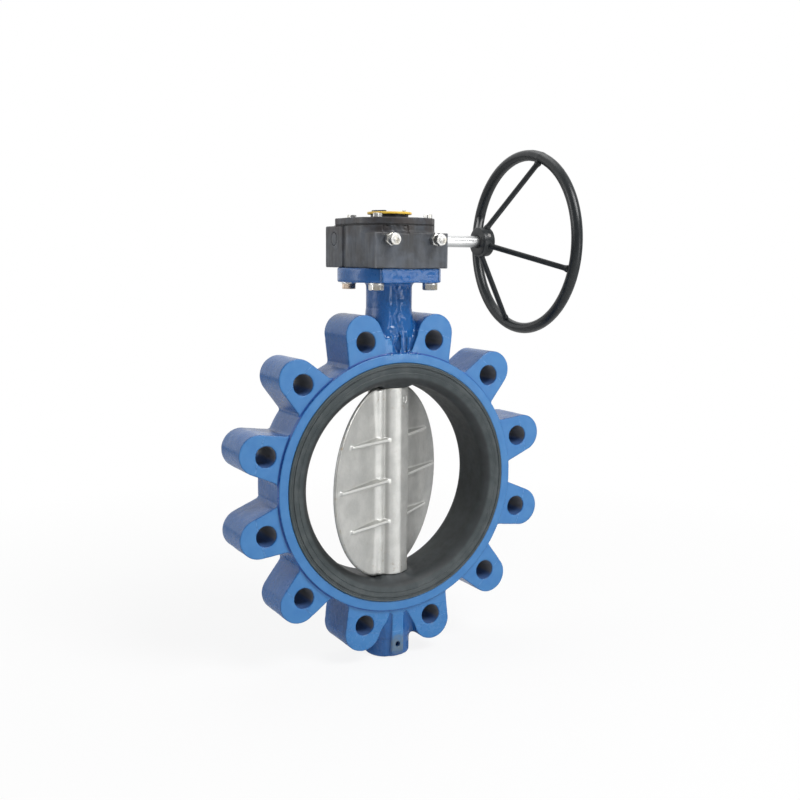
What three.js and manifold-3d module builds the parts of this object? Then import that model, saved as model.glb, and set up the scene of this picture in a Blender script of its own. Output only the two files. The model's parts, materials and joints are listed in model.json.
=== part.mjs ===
// Lug-type butterfly valve with a rubber seat, a worm gear operator and a handwheel.
// Sizes are in millimetres and angles in degrees. The origin is the centre of the bore: +Y runs along
// the pipe away from the front face, +Z up the stem and +X towards the handwheel.
import * as THREE from "three";
import { mergeVertices } from "three/addons/utils/BufferGeometryUtils.js";
import Module from "manifold-3d";

const wasm = await Module();
wasm.setup();

// Clearances and cuts.
const fitGap = 0.3; // between pieces that fit into each other
const threadGap = 0.3; // between a screw and its hole
const overrun = 6; // how far a cut runs past the surface that it opens

// Bore and rubber seat. Widths and offsets are measured outwards from the bore.
const boreRadius = 120.5;
const seatWall = 15.5; // rubber between the bore and the body
const seatLipWidth = 25;
const seatLipDepth = 8.3; // of the lips, below the ring faces
const seatProud = 2; // of the lips, above the ring faces
const seatEntryDepth = 10; // of the rounded entry to the bore, along the pipe
const seatEntryWidth = 10;
const seatFlatOffset = 14.1;
const seatGrooveWidth = 1.7;
const seatGrooveDepth = 1.1;
const seatGrooveOffset = 22.7;
const padRise = 5.2; // of the flat pads round the stem holes, into the bore
const padMargin = 1.5; // of their flats, round the disc's hub
const padSlopeWidth = 6.5;
const padHalfWidth = 31;

// Disc.
const openAngle = 31.7; // of the disc at rest, from closed
const discGap = 0.8; // between the disc's rim and the bore
const discHalfThickness = 4.9;
const discRimHalfThickness = 1.8;
const discBevelWidth = 6.5;
const hubWall = 8;
const bandHalfWidth = 31;
const bandFootHalfWidth = 39;
const bandHalfThickness = 9;
const bandEndInset = 1; // of the band's corners, inside the disc's rim
const ribPitch = 50;
const ribRise = 3.5; // of the middle rib above the bore's centre
const ribThickness = 5;
const middleRibInset = 7.7; // of its ends, inside the disc's rim
const outerRibInset = 29.7;
const ribRootReach = 20;
const ribRootHeight = 15;
const ribTipHeight = 6.3;
const ribTipRun = 3;
const discPinDrop = 15; // below the hub's upper end
const discPinRadius = 4;
const discPinRecess = 1.5;

// Body casting. Heights and drops are measured from the drum's outside.
const faceToFace = 68; // over the ring faces
const ringWidth = 12; // of the ring faces, outside the seat's lips
const ringStep = 3.5; // of the ring faces above the lug faces
const drumStep = 0.5; // of the drum outside the ring faces
const lugCount = 12;
const lugHoleRadius = 12;
const lugHoleOffset = 19.5; // of the bolt circle, outside the drum
const lugEndShift = 8.5; // of the lugs' round ends, outside the bolt circle
const lugEndRadius = 24.3;
const lugFlare = 8;
const lugFillet = 4;
const castEdge = 1;
const castRoot = 8; // how deep the neck and the boss start inside the drum
const neckWall = 10.6;
const neckHeight = 82.3; // up to the top flange
const neckFlareWidth = 12.5;
const neckFlareHeight = 47;
const neckRibHalfWidth = 4;
const neckRibProud = 2;
const flangeThickness = 17.2;
const flangeMargin = 8.5; // of the top flange outside the gear housing
const flangePadInset = 1.5; // of its flat front pad, behind the stop box's front
const flangePadHalfWidth = 37.7;
const bossWall = 13.5;
const bossDrop = 62;
const bossEdge = 4;
const bossFlareWidth = 10.2;
const bossFlareDrop = 34;
const bossWebHalfWidth = 9.2;
const bossWebProud = 2;

// Stems, bushings and seals.
const stemRadius = 14.2;
const seatStemGap = 0.4;
const upperStemReach = 95; // into the disc's hub
const upperStemDrop = 5; // of its top, below the cover's top
const lowerStemReach = 70;
const bushingWall = 2.5;
const bushingStepOffset = 12.5; // of the bushings' bore in the neck, outside the seat
const neckBushingLength = 30;
const neckSealSpace = 8;
const upperBushingDrop = 21.5; // of its top, below the top flange's face
const dustSealHeight = 6;
const ringCordRadius = 1.25; // of the rubber O-rings
const discBushingWall = 2.2;
const discBushingLength = 54;
const lowerRingOffset = 22.5; // of the lower O-ring, outside the seat
const plugMargin = 1.5;
const plugThickness = 8;
const plugRecess = 1;
const retainingPinRadius = 2.4;
const retainingPinRise = 17; // above the boss's lower end
const retainingPinRecess = 7;
const retainingPinDepth = 8; // of its inner end, from the stem's axis

// Worm and quadrant.
const gearModule = 2;
const fullWheelTeeth = 30;
const wormPitchRadius = 10.5;
const backlashHalf = 0.25;
const addendum = 1.7;
const dedendum = 2.3;
const pressureAngle = 20;
const wormThreadHalfLength = 15;
const wormHalfLength = 26.6;
const wormCollarStep = 0.8; // of the worm's collars above the thread's root
const wormPinRadius = 2;
const wormPinInset = 4.6; // from the worm's end
const tunnelClearance = 1;
const quadrantThickness = 16;
const quadrantHubWall = 6.5;
const quadrantHubGap = 1; // under the housing's top
const thrustWasherThickness = 2;
const keyHalfWidth = 4;
const keyDepth = 3.9; // in the stem
const keyProud = 3.3; // outside the stem
const keyRise = 6; // of its foot above the cavity's floor
const keyDrop = 7; // of its top below the quadrant hub's top

// Gear operator's housing and cover.
const cavityMargin = 8.3; // round the quadrant's teeth
const housingWall = 14;
const housingFloor = 5.5;
const shaftRise = 34; // of the input shaft above the top flange
const tunnelRoof = 2.3;
const tunnelWall = 12;
const tunnelBoxFront = 18;
const stopBoxInset = 6; // of its sides, from the housing's radius
const stopBoxProud = 2.5; // of its front, outside the housing's radius
const stopBoxDrop = 8.5; // of its top, below the housing's top
const gasketThickness = 0.8;
const coverThickness = 8.2;
const coverBackInset = 1.5; // of its flat back, in front of the input shaft
const coverBoreMargin = 5.5;
const coverScrewInset = 20.5; // across and along, from the housing's radius
const coverScrewRadius = 3;
const coverScrewFlats = 10;
const coverScrewHead = 4.4;
const coverScrewDepth = 5;
const mountBoltInset = 18; // across and along, from the housing's radius
const mountBoltRadius = 5;
const mountBoltFlats = 16;
const mountBoltHead = 6.4;
const mountBoltDepth = 12;
const mountHoleGap = 0.5;
const washerRadius = 9;
const washerThickness = 2.2;
const stopBoltDrop = 1; // below the input shaft
const stopBoltRadius = 4;
const stopBoltFlats = 13;
const stopBoltHead = 5.5;
const stopBoltReach = 10.5; // of its head, in front of the stop box
const stopNutThickness = 6.5;
const stopFace = 8; // of the quadrant's end faces, from the stem's axis

// Input shaft.
const shaftRadius = 7.4;
const shaftThinRadius = 6;
const shaftLength = 115; // outside the housing
const shaftEdge = 1;
const leftBushingWall = 2.9;
const rightBushingWall = 2.3;
const oilSealSpace = 7;
const plugWall = 5.7; // of the housing's left end, which the round plug fills
const sealCapMargin = 4.5;
const sealCapThickness = 6;

// Position indicator.
const indicatorHubMargin = 2.6; // over the cover's bore
const indicatorHubThickness = 4.3;
const indicatorSpigotGap = 0.6;
const indicatorPlateMargin = 4; // over its hub
const indicatorThickness = 2.8;
const pointerNear = 5.5;
const pointerInset = 1.6;
const pointerHalfWidth = 5;
const pointerTailHalfWidth = 2.6;
const pointerThickness = 2.8;
const indicatorScrewInset = 3.6; // from the hub's edge
const indicatorScrewRadius = 1.6;
const indicatorScrewHeadRadius = 3;
const indicatorScrewHead = 2;
const indicatorScrewDepth = 3;

// Handwheel.
const wheelHubWall = 10.9;
const wheelHubInset = 18; // of its near face, from the shaft's end
const wheelHubLength = 16;
const rimOffset = 74; // of the rim's plane, from the hub's near face
const rimRadius = 113.5;
const rimTubeRadius = 7.4;
const spokeCount = 4;
const spokeStart = 18.3; // of the first spoke, from +Y towards +Z
const spokeRadius = 4;
const spokeHubOffset = 9; // of the spokes' roots, from the hub's near face
const rollPinRadius = 2.4;
const rollPinTurn = 135; // of the roll pin, from the first spoke

// Counts of facets.
const largeSides = 48;
const housingSides = 40;
const stemSides = 28;
const hiddenSides = 20;
const smallSides = 20;
const boltHoleSides = 16;
const screwSides = 10;
const lugArcSteps = 6;
const filletSteps = 2;
const threadStepsPerTurn = 12;
const flankSteps = 2;
const twistSteps = 2;
const rimSteps = 48;
const tubeSides = 10;
const cordSteps = 16;
const cordSides = 5;
const hexSides = 6;
const mergeDistance = 1e-4;

// Radii and places along the pipe that follow from the bore.
const seatOuterRadius = boreRadius + seatWall;
const seatLipRadius = boreRadius + seatLipWidth;
const seatEntryRadius = boreRadius + seatEntryWidth;
const seatFlatRadius = boreRadius + seatFlatOffset;
const seatGrooveRadius = boreRadius + seatGrooveOffset;
const ringRadius = seatLipRadius + ringWidth;
const drumRadius = ringRadius + drumStep;
const lugCircleRadius = drumRadius + lugHoleOffset;
const lugCentreRadius = lugCircleRadius + lugEndShift;
const ringFace = faceToFace / 2;
const lugFace = ringFace - ringStep;
const seatFace = ringFace + seatProud;
const seatShoulder = ringFace - seatLipDepth;
const discRadius = boreRadius - discGap;
const middleRibReach = discRadius - middleRibInset;
const outerRibReach = discRadius - outerRibInset;

// Radii round the stem.
const bushingBore = stemRadius + fitGap;
const bushingRadius = bushingBore + bushingWall;
const neckBore = bushingRadius + fitGap;
const neckRadius = neckBore + neckWall;
const neckFlareRadius = neckRadius + neckFlareWidth;
const discBushingRadius = bushingBore + discBushingWall;
const discBushingBore = discBushingRadius + fitGap;
const hubRadius = discBushingBore + hubWall;
const padFlatRadius = hubRadius + padMargin;
const padFootRadius = padFlatRadius + padSlopeWidth;
const bossRadius = bushingBore + bossWall;
const bossFlareRadius = bossRadius + bossFlareWidth;
const bossWebFront = bossRadius + bossWebProud;
const plugRadius = bushingBore + plugMargin;
const quadrantHubRadius = bushingBore + quadrantHubWall;
const keyInner = stemRadius - keyDepth;
const keyOuter = stemRadius + keyProud;
const coverBoreRadius = bushingBore + coverBoreMargin;
const indicatorHubRadius = coverBoreRadius + indicatorHubMargin;
const indicatorSpigotRadius = coverBoreRadius - indicatorSpigotGap;
const indicatorRadius = indicatorHubRadius + indicatorPlateMargin;
const indicatorScrewPlace = indicatorHubRadius - indicatorScrewInset;
const pointerFar = indicatorRadius - pointerInset;
const discPinEnd = hubRadius - discPinRecess;

// Widths of the gear operator.
const wheelPitchRadius = (gearModule * fullWheelTeeth) / 2;
const wormTipRadius = wormPitchRadius + addendum;
const wormRootRadius = wormPitchRadius - dedendum;
const wormPitch = Math.PI * gearModule;
const wormCollarRadius = wormRootRadius + wormCollarStep;
const wormPinPlace = wormHalfLength - wormPinInset;
const tunnelRadius = wormTipRadius + tunnelClearance;
const tunnelHalfLength = wormHalfLength + fitGap;
const shaftOffset = wheelPitchRadius + wormPitchRadius; // behind the stem's axis
const tunnelBoxBack = shaftOffset + tunnelRadius + tunnelWall;
const coverFlatBack = shaftOffset - coverBackInset;
const cavityRadius = wheelPitchRadius + addendum + cavityMargin;
const housingRadius = cavityRadius + housingWall;
const stopBoxHalfWidth = housingRadius - stopBoxInset;
const stopBoxFront = housingRadius + stopBoxProud;
const stopBoltOffset = wheelPitchRadius;
const stopBoltStart = stopBoxFront + stopBoltReach;
const coverScrewOffset = housingRadius - coverScrewInset;
const mountBoltOffset = housingRadius - mountBoltInset;
const flangeRadius = housingRadius + flangeMargin;
const flangeFront = stopBoxFront - flangePadInset;
const leftBushingRadius = shaftThinRadius + fitGap + leftBushingWall;
const rightBushingRadius = shaftRadius + fitGap + rightBushingWall;
const rightBushingEnd = housingRadius - oilSealSpace;
const sealCapRadius = rightBushingRadius + sealCapMargin;
const shaftEnd = housingRadius + shaftLength;
const wheelHubRadius = shaftRadius + fitGap + wheelHubWall;
const wheelHubNear = shaftEnd - wheelHubInset;
const spokeHubPlace = wheelHubNear + spokeHubOffset;
const rimPlace = wheelHubNear + rimOffset;

// Heights above the bore's centre, and depths below it.
const castFoot = drumRadius - castRoot;
const neckFlareTop = drumRadius + neckFlareHeight;
const flangeBottom = drumRadius + neckHeight;
const flangeTop = flangeBottom + flangeThickness;
const bossBottom = drumRadius + bossDrop;
const bossFlareFoot = drumRadius + bossFlareDrop;
const bushingStep = seatOuterRadius + bushingStepOffset;
const upperBushingTop = flangeTop - upperBushingDrop;
const lowerRingDepth = seatOuterRadius + lowerRingOffset;
const retainingPinDrop = bossBottom - retainingPinRise;
const padFace = boreRadius - padRise;
const hubEnd = padFace - fitGap;
const discPinHeight = hubEnd - discPinDrop;
const upperStemFoot = hubEnd - upperStemReach;
const lowerStemTop = hubEnd - lowerStemReach;
const shaftHeight = flangeTop + shaftRise;
const sectorLow = shaftHeight - quadrantThickness / 2;
const sectorHigh = shaftHeight + quadrantThickness / 2;
const stopBoltHeight = shaftHeight - stopBoltDrop;
const cavityFloor = flangeTop + housingFloor;
const housingTop = shaftHeight + tunnelRadius + tunnelRoof;
const stopBoxTop = housingTop - stopBoxDrop;
const coverBottom = housingTop + gasketThickness;
const coverTop = coverBottom + coverThickness;
const upperStemTop = coverTop - upperStemDrop;
const quadrantHubTop = housingTop - quadrantHubGap;
const keyFoot = cavityFloor + keyRise;
const keyTop = quadrantHubTop - keyDrop;
const indicatorBottom = coverTop + fitGap;
const indicatorTop = indicatorBottom + indicatorHubThickness;
const plateTop = indicatorTop + indicatorThickness;

const radians = THREE.MathUtils.degToRad;
const xAxis = new THREE.Vector3(1, 0, 0);
const yAxis = new THREE.Vector3(0, 1, 0);
const zAxis = new THREE.Vector3(0, 0, 1);

// A closed solid from a three.js geometry, with its faces out.
function solid(geometry) {
  const flat = geometry.index ? geometry.toNonIndexed() : geometry;
  const bare = new THREE.BufferGeometry().setAttribute("position", flat.getAttribute("position"));
  const merged = mergeVertices(bare, mergeDistance);
  const triVerts = new Uint32Array(merged.index.array);
  const vertProperties = merged.attributes.position.array;
  const made = new wasm.Manifold(new wasm.Mesh({ numProp: 3, vertProperties, triVerts }));
  if (made.volume() > 0) return made;
  for (let i = 0; i < triVerts.length; i += 3) {
    [triVerts[i + 1], triVerts[i + 2]] = [triVerts[i + 2], triVerts[i + 1]];
  }
  return new wasm.Manifold(new wasm.Mesh({ numProp: 3, vertProperties, triVerts }));
}

// A three.js geometry from a solid.
function geometryOf(body) {
  const { numProp, numVert, vertProperties, triVerts } = body.getMesh();
  const positions = new Float32Array(numVert * 3);
  for (let i = 0; i < numVert; i++) {
    positions.set(vertProperties.subarray(i * numProp, i * numProp + 3), i * 3);
  }
  const geometry = new THREE.BufferGeometry();
  geometry.setAttribute("position", new THREE.BufferAttribute(positions, 3));
  geometry.setIndex(new THREE.BufferAttribute(triVerts, 1));
  geometry.computeVertexNormals();
  return geometry;
}

// A cylinder or cone from start to end.
function rod(radius, start, end, sides, endRadius = radius) {
  const from = new THREE.Vector3(...start);
  const along = new THREE.Vector3(...end).sub(from);
  const length = along.length();
  const geometry = new THREE.CylinderGeometry(endRadius, radius, length, sides);
  geometry.translate(0, length / 2, 0);
  geometry.applyQuaternion(new THREE.Quaternion().setFromUnitVectors(yAxis, along.normalize()));
  geometry.translate(from.x, from.y, from.z);
  return solid(geometry);
}

// A box between two corners.
function block(low, high) {
  const geometry = new THREE.BoxGeometry(high[0] - low[0], high[1] - low[1], high[2] - low[2]);
  geometry.translate((low[0] + high[0]) / 2, (low[1] + high[1]) / 2, (low[2] + high[2]) / 2);
  return solid(geometry);
}

// Points of [radius, distance along the axis], turned about an axis through the origin.
function turned(profile, axis, sides) {
  const points = profile.map(([radius, place]) => new THREE.Vector2(radius, place));
  if (profile[0][0] > 0) points.push(points[0].clone());
  const geometry = new THREE.LatheGeometry(points, sides);
  geometry.applyQuaternion(new THREE.Quaternion().setFromUnitVectors(yAxis, axis));
  return solid(geometry);
}

// A plain ring about an axis through the origin.
function ring(inner, outer, low, high, axis, sides) {
  const profile = [
    [inner, low],
    [outer, low],
    [outer, high],
    [inner, high],
  ];
  return turned(profile, axis, sides);
}

// A plain cylinder about an axis through the origin.
function disk(radius, low, high, axis, sides) {
  const profile = [
    [0, low],
    [radius, low],
    [radius, high],
    [0, high],
  ];
  return turned(profile, axis, sides);
}

// A round cord bent into a ring about Z.
function cordRing(centreRadius, cordRadius, height) {
  const geometry = new THREE.TorusGeometry(centreRadius, cordRadius, cordSides, cordSteps);
  geometry.translate(0, 0, height);
  return solid(geometry);
}

// An outline in the XY plane, thick from low to high along Z.
function plate(points, low, high) {
  const shape = new THREE.Shape(points.map(([x, y]) => new THREE.Vector2(x, y)));
  const geometry = new THREE.ExtrudeGeometry(shape, { depth: high - low, bevelEnabled: false });
  geometry.translate(0, 0, low);
  return solid(geometry);
}

// An outline in the XZ plane, thick from -half to half along Y, with its edges rounded off by edge.
function slab(points, half, edge) {
  const shape = new THREE.Shape(points.map(([x, z]) => new THREE.Vector2(x, z)));
  const geometry = new THREE.ExtrudeGeometry(shape, {
    depth: 2 * (half - edge),
    bevelSize: edge,
    bevelThickness: edge,
    bevelOffset: -edge,
    bevelSegments: 1,
  });
  geometry.translate(0, 0, edge - half);
  geometry.rotateX(Math.PI / 2);
  return solid(geometry);
}

function arc(x, y, radius, from, to, steps) {
  const points = [];
  for (let i = 0; i <= steps; i++) {
    const angle = from + ((to - from) * i) / steps;
    points.push([x + radius * Math.cos(angle), y + radius * Math.sin(angle)]);
  }
  return points;
}

function turn([x, y], angle) {
  const cos = Math.cos(angle);
  const sin = Math.sin(angle);
  return [x * cos - y * sin, x * sin + y * cos];
}

// A hexagonal prism from start to end, measured over its flats.
function hexagon(flats, start, end) {
  return rod(flats / Math.sqrt(3), start, end, hexSides);
}

// The four corners of a square, as signs.
const corners = [
  [1, 1],
  [-1, 1],
  [-1, -1],
  [1, -1],
];

const paint = new THREE.MeshStandardMaterial({ color: 0x2f63b4, roughness: 0.38, metalness: 0 });
const rubber = new THREE.MeshStandardMaterial({ color: 0x32373a, roughness: 0.7, metalness: 0 });
const castSteel = new THREE.MeshStandardMaterial({ color: 0xb4b4b0, roughness: 0.5, metalness: 0.7 });
const stemSteel = new THREE.MeshStandardMaterial({ color: 0xc4c6c8, roughness: 0.3, metalness: 1 });
const zinc = new THREE.MeshStandardMaterial({ color: 0xd0d0cc, roughness: 0.3, metalness: 1 });
const bronze = new THREE.MeshStandardMaterial({ color: 0xa9783c, roughness: 0.4, metalness: 1 });
const blackPaint = new THREE.MeshStandardMaterial({ color: 0x34373b, roughness: 0.45, metalness: 0 });
const iron = new THREE.MeshStandardMaterial({ color: 0x6b6c6c, roughness: 0.5, metalness: 0.8 });
const yellowPlastic = new THREE.MeshStandardMaterial({ color: 0xf0c435, roughness: 0.45, metalness: 0 });
const blackPlastic = new THREE.MeshStandardMaterial({ color: 0x1e2124, roughness: 0.5, metalness: 0 });
const wheelPaint = new THREE.MeshStandardMaterial({ color: 0x22272a, roughness: 0.25, metalness: 0 });

const valve = new THREE.Group();
const turning = new THREE.Group(); // turns with the stem: its X runs along the disc
turning.rotation.z = radians(openAngle);
valve.add(turning);

function add(name, body, material, group = valve) {
  const mesh = new THREE.Mesh(geometryOf(body), material);
  mesh.name = name;
  group.add(mesh);
}

// Outline of the drum with its lugs, counter-clockwise in the XZ plane.
function lugOutline() {
  const flare = radians(lugFlare);
  const normal = [Math.sin(flare), Math.cos(flare)];
  const inward = [-Math.cos(flare), Math.sin(flare)];
  const edge = lugEndRadius + lugFillet;
  const from = [lugCentreRadius + edge * normal[0], edge * normal[1]];
  const reach = drumRadius + lugFillet;
  const half = from[0] * inward[0] + from[1] * inward[1];
  const rest = from[0] ** 2 + from[1] ** 2 - reach ** 2;
  const along = -half - Math.sqrt(half ** 2 - rest);
  const centre = [from[0] + along * inward[0], from[1] + along * inward[1]];
  const foot = Math.atan2(centre[1], centre[0]);
  const end = arc(lugCentreRadius, 0, lugEndRadius, flare - Math.PI / 2, Math.PI / 2 - flare, lugArcSteps);
  const fillet = arc(...centre, lugFillet, -Math.PI / 2 - flare, foot - Math.PI, filletSteps);
  const lower = fillet.map(([x, y]) => [x, -y]).reverse();
  const pitch = (2 * Math.PI) / lugCount;
  const between = arc(0, 0, drumRadius, foot, pitch - foot, 2).slice(1, -1);
  const lug = [...lower, ...end, ...fillet, ...between];
  const points = [];
  for (let i = 0; i < lugCount; i++) {
    points.push(...lug.map((point) => turn(point, (i + 0.5) * pitch)));
  }
  return points;
}

function lugHoles() {
  const holes = [];
  for (let i = 0; i < lugCount; i++) {
    const angle = ((i + 0.5) * 2 * Math.PI) / lugCount;
    const [x, z] = [lugCircleRadius * Math.cos(angle), lugCircleRadius * Math.sin(angle)];
    holes.push(rod(lugHoleRadius, [x, -seatFace, z], [x, seatFace, z], boltHoleSides));
  }
  return wasm.Manifold.union(holes);
}

// The pocket that the rubber seat fills.
function seatPocket() {
  const wide = seatLipRadius + fitGap;
  const narrow = seatOuterRadius + fitGap;
  const shoulder = seatShoulder - fitGap;
  const end = ringFace + overrun;
  const profile = [
    [0, -end],
    [wide, -end],
    [wide, -shoulder],
    [narrow, -shoulder],
    [narrow, shoulder],
    [wide, shoulder],
    [wide, end],
    [0, end],
  ];
  return turned(profile, yAxis, largeSides);
}

function neck() {
  const low = castFoot;
  const flare = rod(neckFlareRadius, [0, 0, low], [0, 0, neckFlareTop], stemSides, neckRadius);
  const between = block([-neckFlareRadius, -lugFace, low], [neckFlareRadius, lugFace, neckFlareTop]);
  const ribFront = neckRadius + neckRibProud;
  const rib = block([-neckRibHalfWidth, -ribFront, low], [neckRibHalfWidth, 0, flangeBottom]);
  return rod(neckRadius, [0, 0, low], [0, 0, flangeTop], stemSides)
    .add(flare.intersect(between))
    .add(rib);
}

function topFlange() {
  const round = rod(flangeRadius, [0, 0, flangeBottom], [0, 0, flangeTop], housingSides);
  const front = [-flangeRadius, -flangeRadius - overrun, flangeBottom - overrun];
  const cut = block(front, [flangeRadius, -flangeFront, flangeTop + overrun]);
  const low = [-flangePadHalfWidth, -flangeFront, flangeBottom];
  const pad = block(low, [flangePadHalfWidth, 0, flangeTop]);
  return round.subtract(cut).add(pad);
}

function bottomBoss() {
  const profile = [
    [0, -bossBottom],
    [bossRadius - bossEdge, -bossBottom],
    [bossRadius, bossEdge - bossBottom],
    [bossRadius, -castFoot],
    [0, -castFoot],
  ];
  const start = [0, 0, -bossFlareFoot];
  const flare = rod(bossRadius, start, [0, 0, -castFoot], stemSides, bossFlareRadius);
  const low = [-bossFlareRadius, -lugFace, -bossFlareFoot];
  const between = block(low, [bossFlareRadius, lugFace, -castFoot]);
  const webLow = [-bossWebHalfWidth, -bossWebFront, bossEdge - bossBottom];
  const web = block(webLow, [bossWebHalfWidth, 0, -castFoot]);
  return turned(profile, zAxis, stemSides).add(flare.intersect(between)).add(web);
}

function bodyCasting() {
  const drum = slab(lugOutline(), lugFace, castEdge);
  const raised = disk(ringRadius, -ringFace, ringFace, yAxis, largeSides);
  const casting = drum.add(raised).add(neck()).add(topFlange()).add(bottomBoss());
  const cuts = [
    seatPocket(),
    lugHoles(),
    disk(stemRadius + fitGap, 0, flangeTop, zAxis, stemSides),
    disk(neckBore, bushingStep, flangeTop + overrun, zAxis, stemSides),
    disk(bushingBore, -bossBottom, 0, zAxis, stemSides),
    lowerRingGroove(),
    disk(plugRadius + fitGap, -bossBottom - overrun, plugFloor() + fitGap, zAxis, stemSides),
    retainingPinHole(bossWebFront + overrun),
  ];
  const hole = mountBoltRadius + mountHoleGap;
  for (const [x, y] of corners) {
    const place = [x * mountBoltOffset, y * mountBoltOffset];
    cuts.push(rod(hole, [...place, flangeBottom - overrun], [...place, flangeTop + overrun], screwSides));
  }
  add("body_casting", casting.subtract(wasm.Manifold.union(cuts)), paint);
}

// A cone with a flat end that clears or makes the pad round a stem hole.
function padShape(face, flat, foot, outer) {
  const profile = [
    [0, face],
    [flat, face],
    [foot, face + padRise],
    [foot, outer],
    [0, outer],
  ];
  return turned(profile, zAxis, stemSides);
}

function seatLiner() {
  const groove = (radius) => [
    [radius - seatGrooveWidth / 2, seatFace],
    [radius, seatFace - seatGrooveDepth],
    [radius + seatGrooveWidth / 2, seatFace],
  ];
  const half = [
    [boreRadius, seatFace - seatEntryDepth],
    [seatEntryRadius, seatFace - seatGrooveDepth],
    [seatFlatRadius, seatFace],
    ...groove(seatGrooveRadius),
    [seatLipRadius, seatFace - seatGrooveDepth],
    [seatLipRadius, seatShoulder],
    [seatOuterRadius, seatShoulder],
  ];
  const mirrored = half.map(([radius, place]) => [radius, -place]).reverse();
  const sleeve = turned([...half, ...mirrored], yAxis, largeSides);
  const middle = boreRadius + seatWall / 2;
  const upper = padShape(padFace, padFlatRadius, padFootRadius, middle);
  const low = [-padFootRadius, -padHalfWidth, -middle];
  const within = block(low, [padFootRadius, padHalfWidth, middle]);
  const pads = upper.add(upper.mirror([0, 0, 1])).intersect(within);
  const hole = stemRadius + seatStemGap;
  const through = disk(hole, -seatOuterRadius - overrun, seatOuterRadius + overrun, zAxis, stemSides);
  add("seat_liner", sleeve.add(pads).subtract(through), rubber);
}

// The disc lies in the XZ plane of the turning group, with its hub on Z.
function disc() {
  const inner = discRadius - discBevelWidth;
  const profile = [
    [0, -discHalfThickness],
    [inner, -discHalfThickness],
    [discRadius, -discRimHalfThickness],
    [discRadius, discRimHalfThickness],
    [inner, discHalfThickness],
    [0, discHalfThickness],
  ];
  const rim = turned(profile, yAxis, largeSides);
  const bandOutline = [
    [-bandFootHalfWidth, 0],
    [-bandHalfWidth, -bandHalfThickness],
    [bandHalfWidth, -bandHalfThickness],
    [bandFootHalfWidth, 0],
    [bandHalfWidth, bandHalfThickness],
    [-bandHalfWidth, bandHalfThickness],
  ];
  const thick = bandHalfThickness + overrun;
  const round = disk(discRadius - bandEndInset, -thick, thick, yAxis, largeSides);
  const band = plate(bandOutline, -hubEnd, hubEnd).intersect(round);
  const hub = disk(hubRadius, -hubEnd, hubEnd, zAxis, stemSides);
  let made = rim.add(band).add(hub);
  for (const step of [-1, 0, 1]) {
    const reach = step ? outerRibReach : middleRibReach;
    const side = [
      [reach + ribTipRun, 0],
      [reach, ribTipHeight],
      [ribRootReach, ribRootHeight],
      [-ribRootReach, ribRootHeight],
      [-reach, ribTipHeight],
    ];
    const outline = [...side, ...side.map(([x, y]) => [-x, -y])];
    const middle = ribRise + step * ribPitch;
    made = made.add(plate(outline, middle - ribThickness / 2, middle + ribThickness / 2));
  }
  const beyond = boreRadius + overrun;
  const clear = padShape(hubEnd, padFlatRadius, padFootRadius, beyond);
  const bushingEnd = discBushingLength - hubEnd;
  const pinHole = discPinRadius + fitGap;
  const cuts = [
    clear,
    clear.mirror([0, 0, 1]),
    disk(bushingBore, upperStemFoot - fitGap, hubEnd + overrun, zAxis, stemSides),
    disk(discBushingBore, -hubEnd - overrun, bushingEnd + fitGap, zAxis, stemSides),
    disk(bushingBore, -hubEnd, fitGap - lowerStemTop, zAxis, stemSides),
    rod(pinHole, [0, -bossRadius, discPinHeight], [0, bossRadius, discPinHeight], screwSides),
  ];
  add("disc", made.subtract(wasm.Manifold.union(cuts)), castSteel, turning);

  const pinFrom = [0, -discPinEnd, discPinHeight];
  const pinTo = [0, discPinEnd, discPinHeight];
  add("disc_pin", rod(discPinRadius, pinFrom, pinTo, screwSides), stemSteel, turning);
  const bushing = ring(bushingBore, discBushingRadius, fitGap - hubEnd, bushingEnd, zAxis, hiddenSides);
  add("disc_bushing", bushing, bronze, turning);
}

// Height of the inner face of the plug that closes the bottom boss.
function plugFloor() {
  return plugRecess + plugThickness - bossBottom;
}

function lowerRingGroove() {
  const half = ringCordRadius + fitGap;
  return disk(neckBore, -lowerRingDepth - half, half - lowerRingDepth, zAxis, stemSides);
}

function retainingPinHole(front) {
  const radius = retainingPinRadius + fitGap;
  const inner = [0, fitGap - retainingPinDepth, -retainingPinDrop];
  return rod(radius, [0, -front, -retainingPinDrop], inner, screwSides);
}

function upperStem() {
  const height = upperBushingTop - bushingStep;
  const shaft = disk(stemRadius, upperStemFoot, upperStemTop, zAxis, stemSides);
  const pinHole = discPinRadius + fitGap;
  const across = rod(pinHole, [0, -hubRadius, discPinHeight], [0, hubRadius, discPinHeight], screwSides);
  add("upper_stem", shaft.subtract(across).subtract(keySlot()), stemSteel, turning);

  const ringRadius = (stemRadius + neckBore) / 2;
  const lowerTop = bushingStep + fitGap + neckBushingLength;
  const upperFoot = lowerTop + neckSealSpace;
  const lower = ring(bushingBore, bushingRadius, bushingStep + fitGap, lowerTop, zAxis, hiddenSides);
  add("lower_neck_bushing", lower, bronze);
  const upper = ring(bushingBore, bushingRadius, upperFoot, bushingStep + height, zAxis, hiddenSides);
  add("upper_neck_bushing", upper, bronze);
  const space = (upperFoot - lowerTop) / 4;
  add("stem_o_ring_lower", cordRing(ringRadius, ringCordRadius, lowerTop + space), rubber);
  add("stem_o_ring_upper", cordRing(ringRadius, ringCordRadius, upperFoot - space), rubber);
  const sealFoot = upperBushingTop + fitGap;
  const seal = ring(bushingBore, bushingRadius, sealFoot, sealFoot + dustSealHeight, zAxis, hiddenSides);
  add("stem_dust_seal", seal, rubber);
}

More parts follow.
